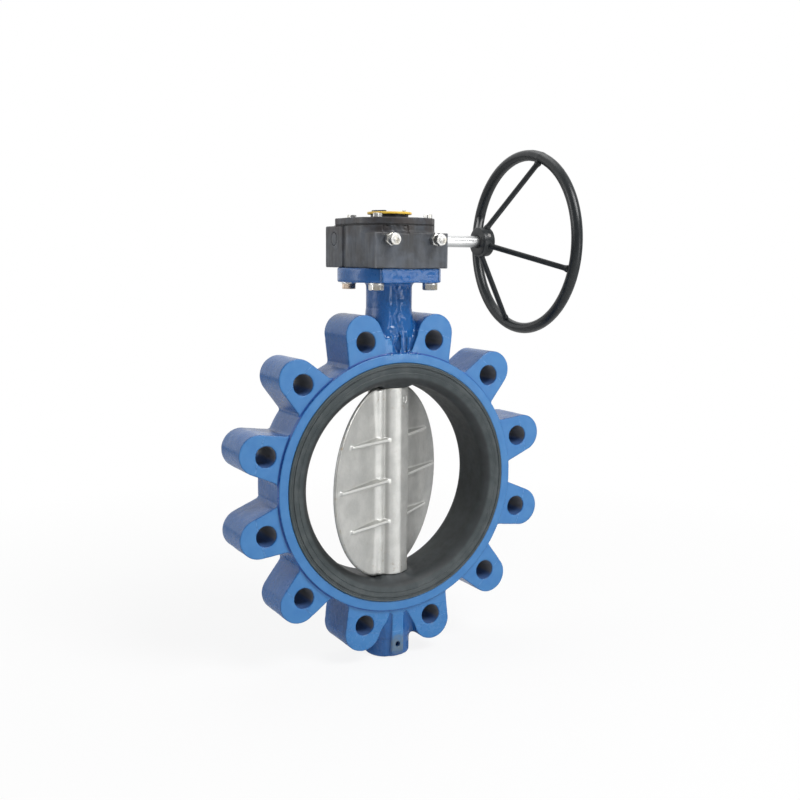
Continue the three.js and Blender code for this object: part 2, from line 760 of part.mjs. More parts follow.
function lowerStem() {
  const foot = plugFloor() + fitGap;
  const shaft = disk(stemRadius, foot, -lowerStemTop, zAxis, stemSides);
  add("lower_stem", shaft.subtract(retainingPinHole(bossRadius)), stemSteel);
  const ringRadius = (stemRadius + neckBore) / 2;
  add("lower_stem_o_ring", cordRing(ringRadius, ringCordRadius, -lowerRingDepth), rubber);
  add("bottom_plug", disk(plugRadius, plugRecess - bossBottom, plugFloor(), zAxis, stemSides), zinc);
  const front = [0, retainingPinRecess - bossWebFront, -retainingPinDrop];
  const inner = [0, -retainingPinDepth, -retainingPinDrop];
  add("stem_retaining_pin", rod(retainingPinRadius, front, inner, screwSides), stemSteel);
}

// Slot for the key, in the stem and in the quadrant's hub alike.
function keySlot() {
  const half = keyHalfWidth + fitGap;
  const low = [-half, keyInner - fitGap, keyFoot - fitGap];
  return block(low, [half, keyOuter + fitGap, keyTop + fitGap]);
}

function involute(angle) {
  return Math.tan(angle) - angle;
}

// Outline of the full wheel, with a tooth space centred on the given angle.
function wheelOutline(spaceAngle) {
  const tilt = radians(pressureAngle);
  const base = wheelPitchRadius * Math.cos(tilt);
  const root = wheelPitchRadius - dedendum;
  const tip = wheelPitchRadius + addendum;
  const low = Math.max(base, root);
  const pitchHalf = Math.PI / 2 / fullWheelTeeth - backlashHalf / wheelPitchRadius;
  const flank = [];
  for (let i = 0; i <= flankSteps; i++) {
    const radius = low + ((tip - low) * i) / flankSteps;
    const half = pitchHalf + involute(tilt) - involute(Math.acos(base / radius));
    flank.push([radius, half]);
  }
  const pitch = (2 * Math.PI) / fullWheelTeeth;
  const polar = (radius, angle) => [radius * Math.cos(angle), radius * Math.sin(angle)];
  const points = [];
  for (let i = 0; i < fullWheelTeeth; i++) {
    const middle = spaceAngle + (i + 0.5) * pitch;
    points.push(polar(root, middle - flank[0][1]));
    points.push(...flank.map(([radius, half]) => polar(radius, middle - half)));
    points.push(...flank.map(([radius, half]) => polar(radius, middle + half)).reverse());
    points.push(polar(root, middle + flank[0][1]));
  }
  return points;
}

// The toothed quadrant, in the turning group. Its teeth lean with the worm's thread.
function wormQuadrant() {
  const spaceAngle = radians(90 - openAngle);
  const points = wheelOutline(spaceAngle).map(([x, y]) => new THREE.Vector2(x, y));
  const depth = sectorHigh - sectorLow;
  const options = { depth, steps: twistSteps, bevelEnabled: false };
  const geometry = new THREE.ExtrudeGeometry(new THREE.Shape(points), options);
  const position = geometry.getAttribute("position");
  for (let i = 0; i < position.count; i++) {
    const rise = position.getZ(i) - depth / 2;
    const lean = rise / wormPitchRadius / fullWheelTeeth;
    const [x, y] = turn([position.getX(i), position.getY(i)], lean);
    position.setXYZ(i, x, y, shaftHeight + rise);
  }
  const low = [-stopFace, -stopFace, sectorLow - overrun];
  const reach = wheelPitchRadius + overrun;
  const sector = solid(geometry).intersect(block(low, [reach, reach, sectorHigh + overrun]));
  const hubFoot = cavityFloor + thrustWasherThickness + fitGap;
  const hub = disk(quadrantHubRadius, hubFoot, quadrantHubTop, zAxis, stemSides);
  const bore = disk(bushingBore, cavityFloor, housingTop, zAxis, stemSides);
  add("worm_quadrant", sector.add(hub).subtract(bore).subtract(keySlot()), iron, turning);
  const washerTop = cavityFloor + thrustWasherThickness;
  const washer = ring(bushingBore, quadrantHubRadius, cavityFloor, washerTop, zAxis, hiddenSides);
  add("quadrant_thrust_washer", washer, bronze);
  const keyLow = [-keyHalfWidth, keyInner, keyFoot];
  add("stem_key", block(keyLow, [keyHalfWidth, keyOuter, keyTop]), iron, turning);
}

// Moves a solid made about the X axis onto the input shaft's axis.
function onShaft(body) {
  return body.translate([0, shaftOffset, shaftHeight]);
}

function gearboxHousing() {
  const low = flangeTop;
  const tunnelBox = [-housingRadius, tunnelBoxFront, low];
  const stopBox = [-stopBoxHalfWidth, -stopBoxFront, low];
  const leftSeat = tunnelHalfLength;
  const plugSeat = housingRadius - plugWall;
  const cuts = [
    disk(cavityRadius, cavityFloor, housingTop + overrun, zAxis, smallSides),
    disk(stemRadius + 2 * fitGap, low - overrun, housingTop, zAxis, stemSides),
    onShaft(disk(tunnelRadius, -leftSeat, leftSeat, xAxis, smallSides)),
    onShaft(disk(leftBushingRadius + fitGap, -plugSeat, 0, xAxis, smallSides)),
    onShaft(disk(plugFaceRadius() + fitGap, -housingRadius - overrun, 0, xAxis, smallSides)),
    onShaft(disk(rightBushingRadius + fitGap, 0, housingRadius + overrun, xAxis, smallSides)),
  ];
  for (const [x, y] of corners) {
    const bolt = [x * mountBoltOffset, y * mountBoltOffset];
    const boltTop = low + mountBoltDepth + threadGap;
    cuts.push(rod(mountBoltRadius + threadGap, [...bolt, low - overrun], [...bolt, boltTop], screwSides));
    cuts.push(coverScrewHole(x, y));
  }
  for (const side of [-1, 1]) {
    const start = [side * stopBoltOffset, -stopBoxFront - overrun, stopBoltHeight];
    const end = [side * stopBoltOffset, 0, stopBoltHeight];
    cuts.push(rod(stopBoltRadius + threadGap, start, end, screwSides));
  }
  const housing = rod(housingRadius, [0, 0, low], [0, 0, housingTop], housingSides)
    .add(block(tunnelBox, [housingRadius, tunnelBoxBack, housingTop]))
    .add(block(stopBox, [stopBoxHalfWidth, 0, stopBoxTop]))
    .subtract(wasm.Manifold.union(cuts));
  add("gearbox_housing", housing, blackPaint);
}

// The round plug is as wide as the shaft that it stands in line with.
function plugFaceRadius() {
  return shaftRadius;
}

function coverScrewHole(x, y) {
  const place = [x * coverScrewOffset, y * coverScrewOffset];
  const foot = [...place, housingTop - coverScrewDepth - threadGap];
  return rod(coverScrewRadius + threadGap, foot, [...place, coverTop + overrun], screwSides);
}

// Outline of the cover and its gasket: round, squared off behind over the worm's tunnel.
function coverBlank(low, high) {
  const corner = [-housingRadius, 0, low];
  let blank = rod(housingRadius, [0, 0, low], [0, 0, high], housingSides)
    .add(block(corner, [housingRadius, coverFlatBack, high]))
    .subtract(disk(coverBoreRadius, low - overrun, high + overrun, zAxis, stemSides));
  for (const [x, y] of corners) blank = blank.subtract(coverScrewHole(x, y));
  return blank;
}

function gearboxCover() {
  add("cover_gasket", coverBlank(housingTop, coverBottom), rubber);
  add("gearbox_cover", coverBlank(coverBottom, coverTop), blackPaint);
  corners.forEach(([x, y], i) => {
    const place = [x * coverScrewOffset, y * coverScrewOffset];
    const head = hexagon(coverScrewFlats, [...place, coverTop], [...place, coverTop + coverScrewHead]);
    const foot = [...place, housingTop - coverScrewDepth];
    const shank = rod(coverScrewRadius, foot, [...place, coverTop + coverScrewHead / 2], screwSides);
    add(`cover_screw_${i + 1}`, head.add(shank), zinc);
  });
}

function mountingBolts() {
  corners.forEach(([x, y], i) => {
    const place = [x * mountBoltOffset, y * mountBoltOffset];
    const washerFoot = flangeBottom - washerThickness;
    const headFoot = washerFoot - mountBoltHead;
    const head = hexagon(mountBoltFlats, [...place, headFoot], [...place, washerFoot]);
    const top = [...place, flangeTop + mountBoltDepth];
    const shank = rod(mountBoltRadius, [...place, headFoot + mountBoltHead / 2], top, screwSides);
    add(`mounting_bolt_${i + 1}`, head.add(shank), zinc);
    const inner = mountBoltRadius + threadGap;
    const washer = ring(inner, washerRadius, washerFoot, flangeBottom, zAxis, boltHoleSides);
    add(`mounting_washer_${i + 1}`, washer.translate([...place, 0]), zinc);
  });
}

function stopBolts() {
  [-1, 1].forEach((side, i) => {
    const at = (y) => [side * stopBoltOffset, y, stopBoltHeight];
    const head = hexagon(stopBoltFlats, at(-stopBoltStart - stopBoltHead), at(-stopBoltStart));
    const start = at(-stopBoltStart - stopBoltHead / 2);
    const tip = at(-stopFace - fitGap);
    const shank = rod(stopBoltRadius, start, tip, screwSides);
    add(`stop_bolt_${i + 1}`, head.add(shank), zinc);
    const nut = hexagon(stopBoltFlats, at(-stopBoxFront - stopNutThickness), at(-stopBoxFront));
    const hole = rod(stopBoltRadius + threadGap, at(-stopBoltStart), at(0), screwSides);
    add(`stop_nut_${i + 1}`, nut.subtract(hole), zinc);
  });
}

function positionIndicator() {
  const spigotFoot = quadrantHubTop + fitGap;
  const spigot = disk(indicatorSpigotRadius, spigotFoot, indicatorTop, zAxis, stemSides);
  const cap = disk(indicatorHubRadius, indicatorBottom, indicatorTop, zAxis, stemSides);
  const stemSpace = disk(bushingBore, spigotFoot - overrun, upperStemTop + fitGap, zAxis, stemSides);
  const at = (z) => [0, -indicatorScrewPlace, z];
  const screwFoot = indicatorTop - indicatorScrewDepth;
  const holeFoot = at(screwFoot - threadGap);
  const screwHole = rod(indicatorScrewRadius + threadGap, holeFoot, at(plateTop + overrun), screwSides);
  add("indicator_hub", spigot.add(cap).subtract(stemSpace).subtract(screwHole), blackPlastic, turning);
  const yellow = disk(indicatorRadius, indicatorTop, plateTop, zAxis, stemSides);
  add("indicator_plate", yellow.subtract(screwHole), yellowPlastic, turning);
  const middle = (pointerNear + pointerFar) / 2;
  const outline = [
    [-pointerTailHalfWidth, pointerNear],
    [pointerTailHalfWidth, pointerNear],
    [pointerTailHalfWidth, middle],
    [pointerHalfWidth, middle],
    [0, pointerFar],
    [-pointerHalfWidth, middle],
    [-pointerTailHalfWidth, middle],
  ];
  add("indicator_pointer", plate(outline, plateTop, plateTop + pointerThickness), blackPlastic, turning);
  const headTop = plateTop + indicatorScrewHead;
  const head = rod(indicatorScrewHeadRadius, at(plateTop), at(headTop), screwSides);
  const shank = rod(indicatorScrewRadius, at(screwFoot), at(headTop - indicatorScrewHead / 2), screwSides);
  add("indicator_screw", head.add(shank), zinc, turning);
}

// A rod with the right-handed thread, longer than the worm. Each row of points follows the helix, and
// the row that starts one pitch further on closes the turn.
function threadedRod() {
  const tilt = Math.tan(radians(pressureAngle));
  const pitchHalf = wormPitch / 4 - backlashHalf;
  const tipHalf = pitchHalf - addendum * tilt;
  const rootHalf = pitchHalf + dedendum * tilt;
  const section = [
    [-rootHalf, wormRootRadius],
    [-tipHalf, wormTipRadius],
    [tipHalf, wormTipRadius],
    [rootHalf, wormRootRadius],
  ];
  const side = Math.ceil(wormThreadHalfLength / wormPitch) + 1;
  const positions = [];
  for (let tooth = -side; tooth <= side; tooth++) {
    for (const [x, radius] of section) {
      for (let i = 0; i < threadStepsPerTurn; i++) {
        const share = i / threadStepsPerTurn;
        const angle = 2 * Math.PI * share;
        const place = (tooth + share) * wormPitch + x;
        positions.push(place, -radius * Math.cos(angle), -radius * Math.sin(angle));
      }
    }
  }
  const rows = (2 * side + 1) * section.length;
  const at = (row, i) => {
    if (i < threadStepsPerTurn) return row * threadStepsPerTurn + i;
    return (row + section.length) * threadStepsPerTurn;
  };
  const far = (side + 2) * wormPitch;
  const lowTip = rows * threadStepsPerTurn;
  positions.push(-far, 0, 0, far, 0, 0);
  const index = [];
  const last = rows - 1 - section.length;
  for (let i = 0; i < threadStepsPerTurn; i++) {
    index.push(at(0, i), at(0, i + 1), lowTip, at(last, i + 1), at(last, i), lowTip + 1);
    for (let row = 0; row < last; row++) {
      index.push(at(row, i), at(row + 1, i), at(row, i + 1));
      index.push(at(row + 1, i), at(row + 1, i + 1), at(row, i + 1));
    }
  }
  for (let row = 0; row < section.length; row++) {
    index.push(at(row + 1, 0), at(row, 0), lowTip);
    index.push(at(last + row, 0), at(last + row + 1, 0), lowTip + 1);
  }
  const geometry = new THREE.BufferGeometry();
  geometry.setAttribute("position", new THREE.Float32BufferAttribute(positions, 3));
  geometry.setIndex(index);
  return solid(geometry);
}

function worm() {
  const end = wormThreadHalfLength;
  const within = block([-end, -tunnelRadius, -tunnelRadius], [end, tunnelRadius, tunnelRadius]);
  const thread = threadedRod().intersect(within);
  const collar = disk(wormCollarRadius, end, wormHalfLength, xAxis, smallSides);
  const bore = disk(shaftThinRadius + fitGap, -housingRadius, housingRadius, xAxis, smallSides);
  const pinHole = wormPinHole(wormCollarRadius + overrun);
  const made = thread.add(collar).add(collar.mirror([1, 0, 0])).subtract(bore).subtract(pinHole);
  add("worm", onShaft(made), stemSteel);
  const pinEnd = wormCollarRadius - fitGap;
  const pin = rod(wormPinRadius, [wormPinPlace, 0, -pinEnd], [wormPinPlace, 0, pinEnd], screwSides);
  add("worm_pin", onShaft(pin), iron);
}

function wormPinHole(reach) {
  return rod(wormPinRadius + fitGap, [wormPinPlace, 0, -reach], [wormPinPlace, 0, reach], screwSides);
}

// Direction across the input shaft at an angle from +Y towards +Z.
function across(radius, angle, x) {
  return [x, radius * Math.cos(angle), radius * Math.sin(angle)];
}

// The rod from one side of the handwheel hub to the other that the roll pin follows.
function rollPinRod(radius, reach) {
  const angle = radians(spokeStart + rollPinTurn);
  const x = wheelHubNear + wheelHubLength / 2;
  return rod(radius, across(-reach, angle, x), across(reach, angle, x), screwSides);
}

function inputShaft() {
  const thinStart = fitGap - (housingRadius - plugWall);
  const step = wormHalfLength + 2 * fitGap;
  const profile = [
    [0, thinStart],
    [shaftThinRadius, thinStart],
    [shaftThinRadius, step],
    [shaftRadius, step],
    [shaftRadius, shaftEnd - shaftEdge],
    [shaftRadius - shaftEdge, shaftEnd],
    [0, shaftEnd],
  ];
  const rollPinHole = rollPinRod(rollPinRadius + fitGap, wheelHubRadius + overrun);
  const shaft = turned(profile, xAxis, smallSides).subtract(wormPinHole(shaftRadius)).subtract(rollPinHole);
  add("input_shaft", onShaft(shaft), zinc);

  const bushStart = wormHalfLength + 2 * fitGap;
  const leftEnd = housingRadius - plugWall - fitGap;
  const leftBore = shaftThinRadius + fitGap;
  const left = ring(leftBore, leftBushingRadius, -leftEnd, -bushStart, xAxis, smallSides);
  add("shaft_bushing_left", onShaft(left), bronze);
  const bore = shaftRadius + fitGap;
  const right = ring(bore, rightBushingRadius, bushStart, rightBushingEnd, xAxis, smallSides);
  add("shaft_bushing_right", onShaft(right), bronze);
  const sealNear = rightBushingEnd + fitGap;
  const seal = ring(bore, rightBushingRadius, sealNear, housingRadius - fitGap, xAxis, smallSides);
  add("shaft_oil_seal", onShaft(seal), rubber);
  const capEnd = housingRadius + sealCapThickness;
  const cap = ring(bore, sealCapRadius, housingRadius, capEnd, xAxis, smallSides);
  add("shaft_seal_cap", onShaft(cap), blackPaint);
  const plug = disk(plugFaceRadius(), -housingRadius, -leftEnd - 2 * fitGap, xAxis, smallSides);
  add("worm_end_plug", onShaft(plug), blackPaint);
}

// A torus about the input shaft's axis.
function rimTube(tubeRadius) {
  const geometry = new THREE.TorusGeometry(rimRadius, tubeRadius, tubeSides, rimSteps);
  geometry.rotateY(Math.PI / 2);
  geometry.translate(rimPlace, 0, 0);
  return solid(geometry);
}

function handwheel() {
  const hubFar = wheelHubNear + wheelHubLength;
  const hub = ring(shaftRadius + fitGap, wheelHubRadius, wheelHubNear, hubFar, xAxis, smallSides);
  const hubClear = disk(wheelHubRadius + fitGap, wheelHubNear - fitGap, hubFar + fitGap, xAxis, smallSides);
  const rimClear = rimTube(rimTubeRadius + fitGap);
  const pinHole = rollPinRod(rollPinRadius + fitGap, wheelHubRadius + overrun);
  add("handwheel_hub", onShaft(hub.subtract(pinHole)), wheelPaint);
  add("handwheel_roll_pin", onShaft(rollPinRod(rollPinRadius, wheelHubRadius)), iron);
  add("handwheel_rim", onShaft(rimTube(rimTubeRadius)), wheelPaint);
  for (let i = 0; i < spokeCount; i++) {
    const angle = radians(spokeStart) + (i * 2 * Math.PI) / spokeCount;
    const start = across(wheelHubRadius - spokeRadius, angle, spokeHubPlace);
    const spoke = rod(spokeRadius, start, across(rimRadius, angle, rimPlace), screwSides);
    add(`handwheel_spoke_${i + 1}`, onShaft(spoke.subtract(hubClear).subtract(rimClear)), wheelPaint);
  }
}

bodyCasting();
seatLiner();
disc();
upperStem();
lowerStem();
wormQuadrant();
gearboxHousing();
gearboxCover();
mountingBolts();
stopBolts();
positionIndicator();
worm();
inputShaft();
handwheel();

export default valve;
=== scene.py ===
import json
import math

import bmesh
import bpy
import numpy as np
from mathutils import Matrix, Vector
from numpy import hypot, maximum, minimum


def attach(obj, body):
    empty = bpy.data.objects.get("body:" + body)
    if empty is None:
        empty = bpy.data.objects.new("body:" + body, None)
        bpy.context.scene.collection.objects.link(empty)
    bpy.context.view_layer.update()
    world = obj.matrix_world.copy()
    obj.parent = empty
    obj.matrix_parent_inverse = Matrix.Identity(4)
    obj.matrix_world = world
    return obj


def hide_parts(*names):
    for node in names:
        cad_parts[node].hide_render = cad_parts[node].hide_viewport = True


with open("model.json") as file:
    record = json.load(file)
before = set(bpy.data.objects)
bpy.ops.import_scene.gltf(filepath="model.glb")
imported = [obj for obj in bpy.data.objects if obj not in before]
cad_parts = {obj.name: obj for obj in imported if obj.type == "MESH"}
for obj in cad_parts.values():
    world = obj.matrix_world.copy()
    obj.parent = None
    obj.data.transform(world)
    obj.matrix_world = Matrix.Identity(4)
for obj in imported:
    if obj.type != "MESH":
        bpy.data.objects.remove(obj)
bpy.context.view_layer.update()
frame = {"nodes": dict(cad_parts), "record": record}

# Looks of a lug-type butterfly valve with a gear operator. Lengths are in millimetres, angles in degrees.
# The origin is the centre of the bore, with +Y along the pipe, +Z up the stem and +X to the handwheel.
MM = 0.001
BODY = "valve_body"
STEM = "disc_and_stem"
WHEEL = "handwheel_and_worm"
GAP = 0.3  # between fitting pieces
OPEN_ANGLE = 31.7  # of the disc at rest

BORE = 120.5
SEAT_OUTER = 136
SEAT_LIP = 145.5
SEAT_FACE = 36
SEAT_SHOULDER = 25.7
PAD_FACE = 115.3
PAD_FLAT = 26.5
PAD_FOOT = 33
PAD_HALF_WIDTH = 31

RING_RADIUS = 157.5
RING_FACE = 34
DRUM_RADIUS = 158
LUG_FACE = 30.5
LUG_COUNT = 12
LUG_CIRCLE = 177.5
LUG_HOLE = 12
LUG_CENTRE = 186
LUG_END = 23.8
LUG_FLARE = 8
LUG_FILLET = 4
MACHINED_RADIUS = 186  # out to here the lug faces were turned
MACHINED_STEP = 0.35
FOOT_FRONT = 26.5  # of the neck and the boss between the lugs
FOOT_RIDGES = (-11, 0.5, 10)

NECK_RADIUS = 27.9
NECK_FLARE = 40
NECK_FLARE_TOP = 205
CAST_FOOT = 150
FLANGE_RADIUS = 62.2
FLANGE_BOTTOM = 240.3
FLANGE_TOP = 257.5
FLANGE_FRONT = 55
FLANGE_PAD_HALF_WIDTH = 37.7
BOSS_RADIUS = 28
BOSS_BOTTOM = 220
BOSS_FLARE = 38
BOSS_FLARE_FOOT = 192
BOSS_WEB_HALF_WIDTH = 9.2
BOSS_WEB_FRONT = 30
PIN_DROP = 203
PIN_RADIUS = 2.4
PIN_INNER = 8

STEM_BORE = 14.5
NECK_BORE = 17.3
NECK_BORE_FOOT = 148.5
RING_GROOVE = 158.5
RING_GROOVE_HALF = 1.55
PLUG_BORE = 16.3
PLUG_TOP = 211
FLANGE_BOLT_HOLE = 5.5

DISC_RADIUS = 119.6
DISC_HALF = 4.2
DISC_THINNING = 1.7  # of each side, towards the rim
DISC_RIM_HALF = 1.4
DISC_BEVEL = 1.2
HUB_RADIUS = 25
HUB_FLAT = 23.6  # of its front and back, from the middle
HUB_END = 115
BAND_HALF_WIDTH = 31
BAND_FOOT_HALF_WIDTH = 39
BAND_HALF = 9
RIB_PITCH = 50
RIB_RISE = 2
RIB_HALF = 1.5
RIB_DRAFT = 0.34
RIB_ROOT = 20
RIB_ROOT_HEIGHT = 15
RIB_TIP_HEIGHT = 6.3
MIDDLE_RIB_REACH = 112
OUTER_RIB_REACH = 90
DISC_PIN_HEIGHT = 100
DISC_PIN_RADIUS = 4
DISC_PIN_END = 23.1
UPPER_POCKET_FOOT = 20  # of the upper stem in the disc
LOWER_POCKET_TOP = 45  # below the middle
DISC_BUSHING_BORE = 17
DISC_BUSHING_LENGTH = 54

HOUSING_RADIUS = 54
HOUSING_TOP = 307
CAVITY_RADIUS = 40
CAVITY_FLOOR = 263
STOP_BOX_HALF_WIDTH = 48
STOP_BOX_FRONT = 56.5
STOP_BOX_TOP = 298.5
TUNNEL_FRONT = 18
TUNNEL_BACK = 65.7
TUNNEL_RADIUS = 13.2
TUNNEL_HALF_LENGTH = 26.9
SHAFT_Y = 40.5
SHAFT_Z = 291.5
AXLE = (0, SHAFT_Y, SHAFT_Z)
LEFT_BUSHING_BORE = 9.5
LEFT_BUSHING_END = 48.3
END_PLUG_BORE = 7.7
END_PLUG_DEPTH = 5.4
RIGHT_BUSHING_BORE = 10.3
SEAL_CAP_RADIUS = 14.5
SEAL_CAP_END = 60
COVER_BOTTOM = 307.8
COVER_TOP = 316
COVER_BACK = 39
COVER_BORE = 20
COVER_SCREW_OFFSET = 33.5
COVER_SCREW_HOLE = 3.3
COVER_SCREW_DEPTH = 5.3
MOUNT_BOLT_OFFSET = 36
HOUSING_BOLT_HOLE = 5.3
HOUSING_BOLT_DEPTH = 12.3
WASHER_THICKNESS = 2.2
STOP_BOLT_OFFSET = 30
STOP_BOLT_HEIGHT = 290.5
STOP_BOLT_HOLE = 4.3
DIAL_BOTTOM = 320.6
DIAL_TOP = 323.4
DIAL_RADIUS = 26.6

SHAFT_RADIUS = 7.4
SHAFT_THIN = 6
SHAFT_END = 169
HUB_NEAR = 151
HUB_LENGTH = 16
HUB_OUTER = 18.6
RIM_PLACE = 224.65
RIM_RADIUS = 113.5
RIM_TUBE = 7.4
RIM_TUBE_ALONG = 7.35
SPOKE_START = 18.3
SPOKE_RADIUS = 3.6
SPOKE_HUB_PLACE = 160

SEAT_GROOVES = (134.6, 140.8, 143.4)
SEAT_GROOVE_DEPTHS = (0.6, 1.0, 0.5)

CORNERS = ((1, 1), (-1, 1), (-1, -1), (1, -1))  # signs of x and y
CUBE = np.indices((2, 2, 2)).reshape(3, -1).T
UNITS = np.eye(3, dtype=int)

WORLD_LIGHT = 0.27
WORLD_FRONT = 0.35  # how bright gloss sees the studio in front of the object
WORLD_TURN = 0.4

MATERIALS = {}


# Signed distances: negative inside. All work on numpy arrays that broadcast together.
def meet(a, b, radius):
    """What is inside both, with its outer edge rounded."""
    outside = hypot(maximum(a + radius, 0), maximum(b + radius, 0))
    return minimum(maximum(a, b), -radius) + outside


def join(a, b, radius):
    """What is inside either, with a fillet in the inner corner."""
    return -meet(-a, -b, radius)


def cut(a, b, radius):
    """The first without the second, with the edge rounded."""
    return meet(a, -b, radius)


def slab(value, low, high):
    return maximum(low - value, value - high)


def ramp(value, low, high):
    share = np.clip((value - low) / (high - low), 0, 1)
    return share * share * (3 - 2 * share)


def lattice_value(ix, iy, iz, seed):
    mixed = (ix * 73856093) ^ (iy * 19349663) ^ (iz * 83492791) ^ (seed * 2654435761)
    mixed = (mixed ^ (mixed >> 13)) * 1274126177 & 0xFFFFFFFF
    return ((mixed ^ (mixed >> 16)) & 0xFFFF) / 65535.0


def noise(points, size, seed):
    """Smooth noise from 0 to 1 with lumps about as wide as size."""
    place = points / size
    cell = np.floor(place).astype(np.int64)
    share = place - cell
    share = share * share * (3 - 2 * share)
    total = np.zeros(len(points))
    for corner in CUBE:
        weight = np.prod(np.where(corner, share, 1 - share), axis=1)
        total += weight * lattice_value(*(cell + corner).T, seed)
    return total


def surface_nets(field, low, high, step):
    """Quads near the zero surface of a field, over a box with room round the surface."""
    axes = [np.arange(start - 2 * step, end + 3 * step, step) for start, end in zip(low, high)]
    values = field(*np.meshgrid(*axes, indexing="ij", sparse=True))
    values = np.broadcast_to(values, [len(axis) for axis in axes])
    inside = values < 0
    shape = np.array(values.shape) - 1
    count = sum(inside[tuple(map(slice, corner, corner + shape))].astype(np.int8) for corner in CUBE)
    active = (count > 0) & (count < 8)
    ids = np.full(shape, -1)
    ids[active] = np.arange(np.count_nonzero(active))
    base = np.argwhere(active)
    total = np.zeros((len(base), 3))
    crossings = np.zeros(len(base))
    for axis, unit in enumerate(UNITS):
        for corner in CUBE[CUBE[:, axis] == 0]:
            first = values[tuple((base + corner).T)]
            second = values[tuple((base + corner + unit).T)]
            crossed = (first < 0) != (second < 0)
            share = np.where(crossed, first / np.where(crossed, first - second, 1), 0)
            total += np.where(crossed[:, None], corner + share[:, None] * unit, 0)
            crossings += crossed
    origin = np.array([axis[0] for axis in axes])
    points = origin + step * (base + total / crossings[:, None])
    quads = []
    for axis in range(3):
        across, along = UNITS[(axis + 1) % 3], UNITS[(axis + 2) % 3]
        edge = np.argwhere(np.diff(inside, axis=axis))
        ring = [edge - across - along, edge - along, edge, edge - across]
        quad = np.stack([ids[tuple(corner.T)] for corner in ring], axis=1)
        backward = ~inside[tuple(edge.T)]
        quad[backward] = quad[backward][:, ::-1]
        quads.append(quad)
    return points, np.concatenate(quads)


def gradient(field, points, step=0.05):
    slopes = [field(*(points + unit * step).T) - field(*(points - unit * step).T) for unit in UNITS]
    return np.stack(slopes, axis=1) / (2 * step)


def unit_length(vectors):
    return vectors / (np.linalg.norm(vectors, axis=1, keepdims=True) + 1e-9)


def settle(field, points, rounds):
    """Moves points onto the zero surface."""
    for _ in range(rounds):
        slope = gradient(field, points)
        size = maximum((slope**2).sum(axis=1), 0.1)
        points = points - (field(*points.T) / size)[:, None] * slope
    return points


def relax(field, points, quads, rounds):
    """Evens out the spacing of the points along the surface."""
    edges = np.concatenate([quads[:, [i, (i + 1) % 4]] for i in range(4)])
    edges = np.concatenate([edges, edges[:, ::-1]])
    degree = np.bincount(edges[:, 0], minlength=len(points))[:, None]
    for _ in range(rounds):
        mean = np.stack([
            np.bincount(edges[:, 0], points[edges[:, 1], i], len(points)) for i in range(3)
        ], axis=1) / degree
        slope = unit_length(gradient(field, points))
        shift = 0.5 * (mean - points)
        shift -= (shift * slope).sum(axis=1, keepdims=True) * slope
        points = settle(field, points + shift, 1)
    return points


def placed(name, data):
    made = bpy.data.objects.new(name, data)
    bpy.context.scene.collection.objects.link(made)
    return made


def mesh_object(name, points, faces, finish):
    mesh = bpy.data.meshes.new(name)
    faces = faces.tolist() if isinstance(faces, np.ndarray) else faces
    mesh.from_pydata((np.asarray(points) * MM).tolist(), [], faces)
    mesh.validate()
    mesh.polygons.foreach_set("use_smooth", [True] * len(mesh.polygons))
    made = placed(name, mesh)
    mesh.materials.append(MATERIALS[finish])
    return made


def dress(piece, body, slot, *nodes):
    """Lets a piece ride on its body and stand for its CAD nodes."""
    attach(piece, body)
    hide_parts(*nodes)


def leave_marks(made, **marks):
    """Stores values from 0 to 1 on the points, for a material to read."""
    for name, values in marks.items():
        layer = made.data.attributes.new(name, "FLOAT", "POINT")
        layer.data.foreach_set("value", np.asarray(values, np.float32))


def skin(field, low, high, step):
    """Points on the field's surface, the quads between them and the normals there."""
    points, quads = surface_nets(field, low, high, step)
    points = settle(field, points, 3)
    points = relax(field, points, quads, 2)
    return points, quads, unit_length(gradient(field, points))


def casting(name, field, roughness, low, high, step, finish, angle=0):
    """A cast piece with its quads, its points before and after roughening, and its normals."""
    plain, quads, normals = skin(field, low, high, step)
    rough = plain - roughness(plain, normals)[:, None] * normals
    made = mesh_object(name, turn_about_z(rough, angle), quads, finish)
    return made, quads, plain, rough, normals


# Shader nodes.
class Tree:
    """The nodes of a material or of the world."""

    def __init__(self, owner):
        owner.use_nodes = True
        self.nodes = owner.node_tree.nodes
        self.links = owner.node_tree.links

    def add(self, kind, **settings):
        node = self.nodes.new(kind)
        for key, value in settings.items():
            setattr(node, key, value)
        return node

    def fill(self, socket, value):
        if isinstance(value, bpy.types.NodeSocket):
            self.links.new(value, socket)
        else:
            socket.default_value = (*value, 1) if socket.type == "RGBA" else value

    def run(self, kind, inputs, output=0, **settings):
        """Adds a node, sets or links its inputs and gives back one output."""
        node = self.add(kind, **settings)
        for key, value in inputs.items():
            self.fill(node.inputs[key], value)
        return node.outputs[output]

    def math(self, operation, first, second=0.0):
        return self.run("ShaderNodeMath", {0: first, 1: second}, operation=operation)

    def times(self, first, second):
        return self.math("MULTIPLY", first, second)

    def band(self, value, low, high, to_low=0.0, to_high=1.0, kind="SMOOTHSTEP"):
        inputs = {"Value": value, "From Min": low, "From Max": high, "To Min": to_low, "To Max": to_high}
        return self.run("ShaderNodeMapRange", inputs, clamp=True, interpolation_type=kind)


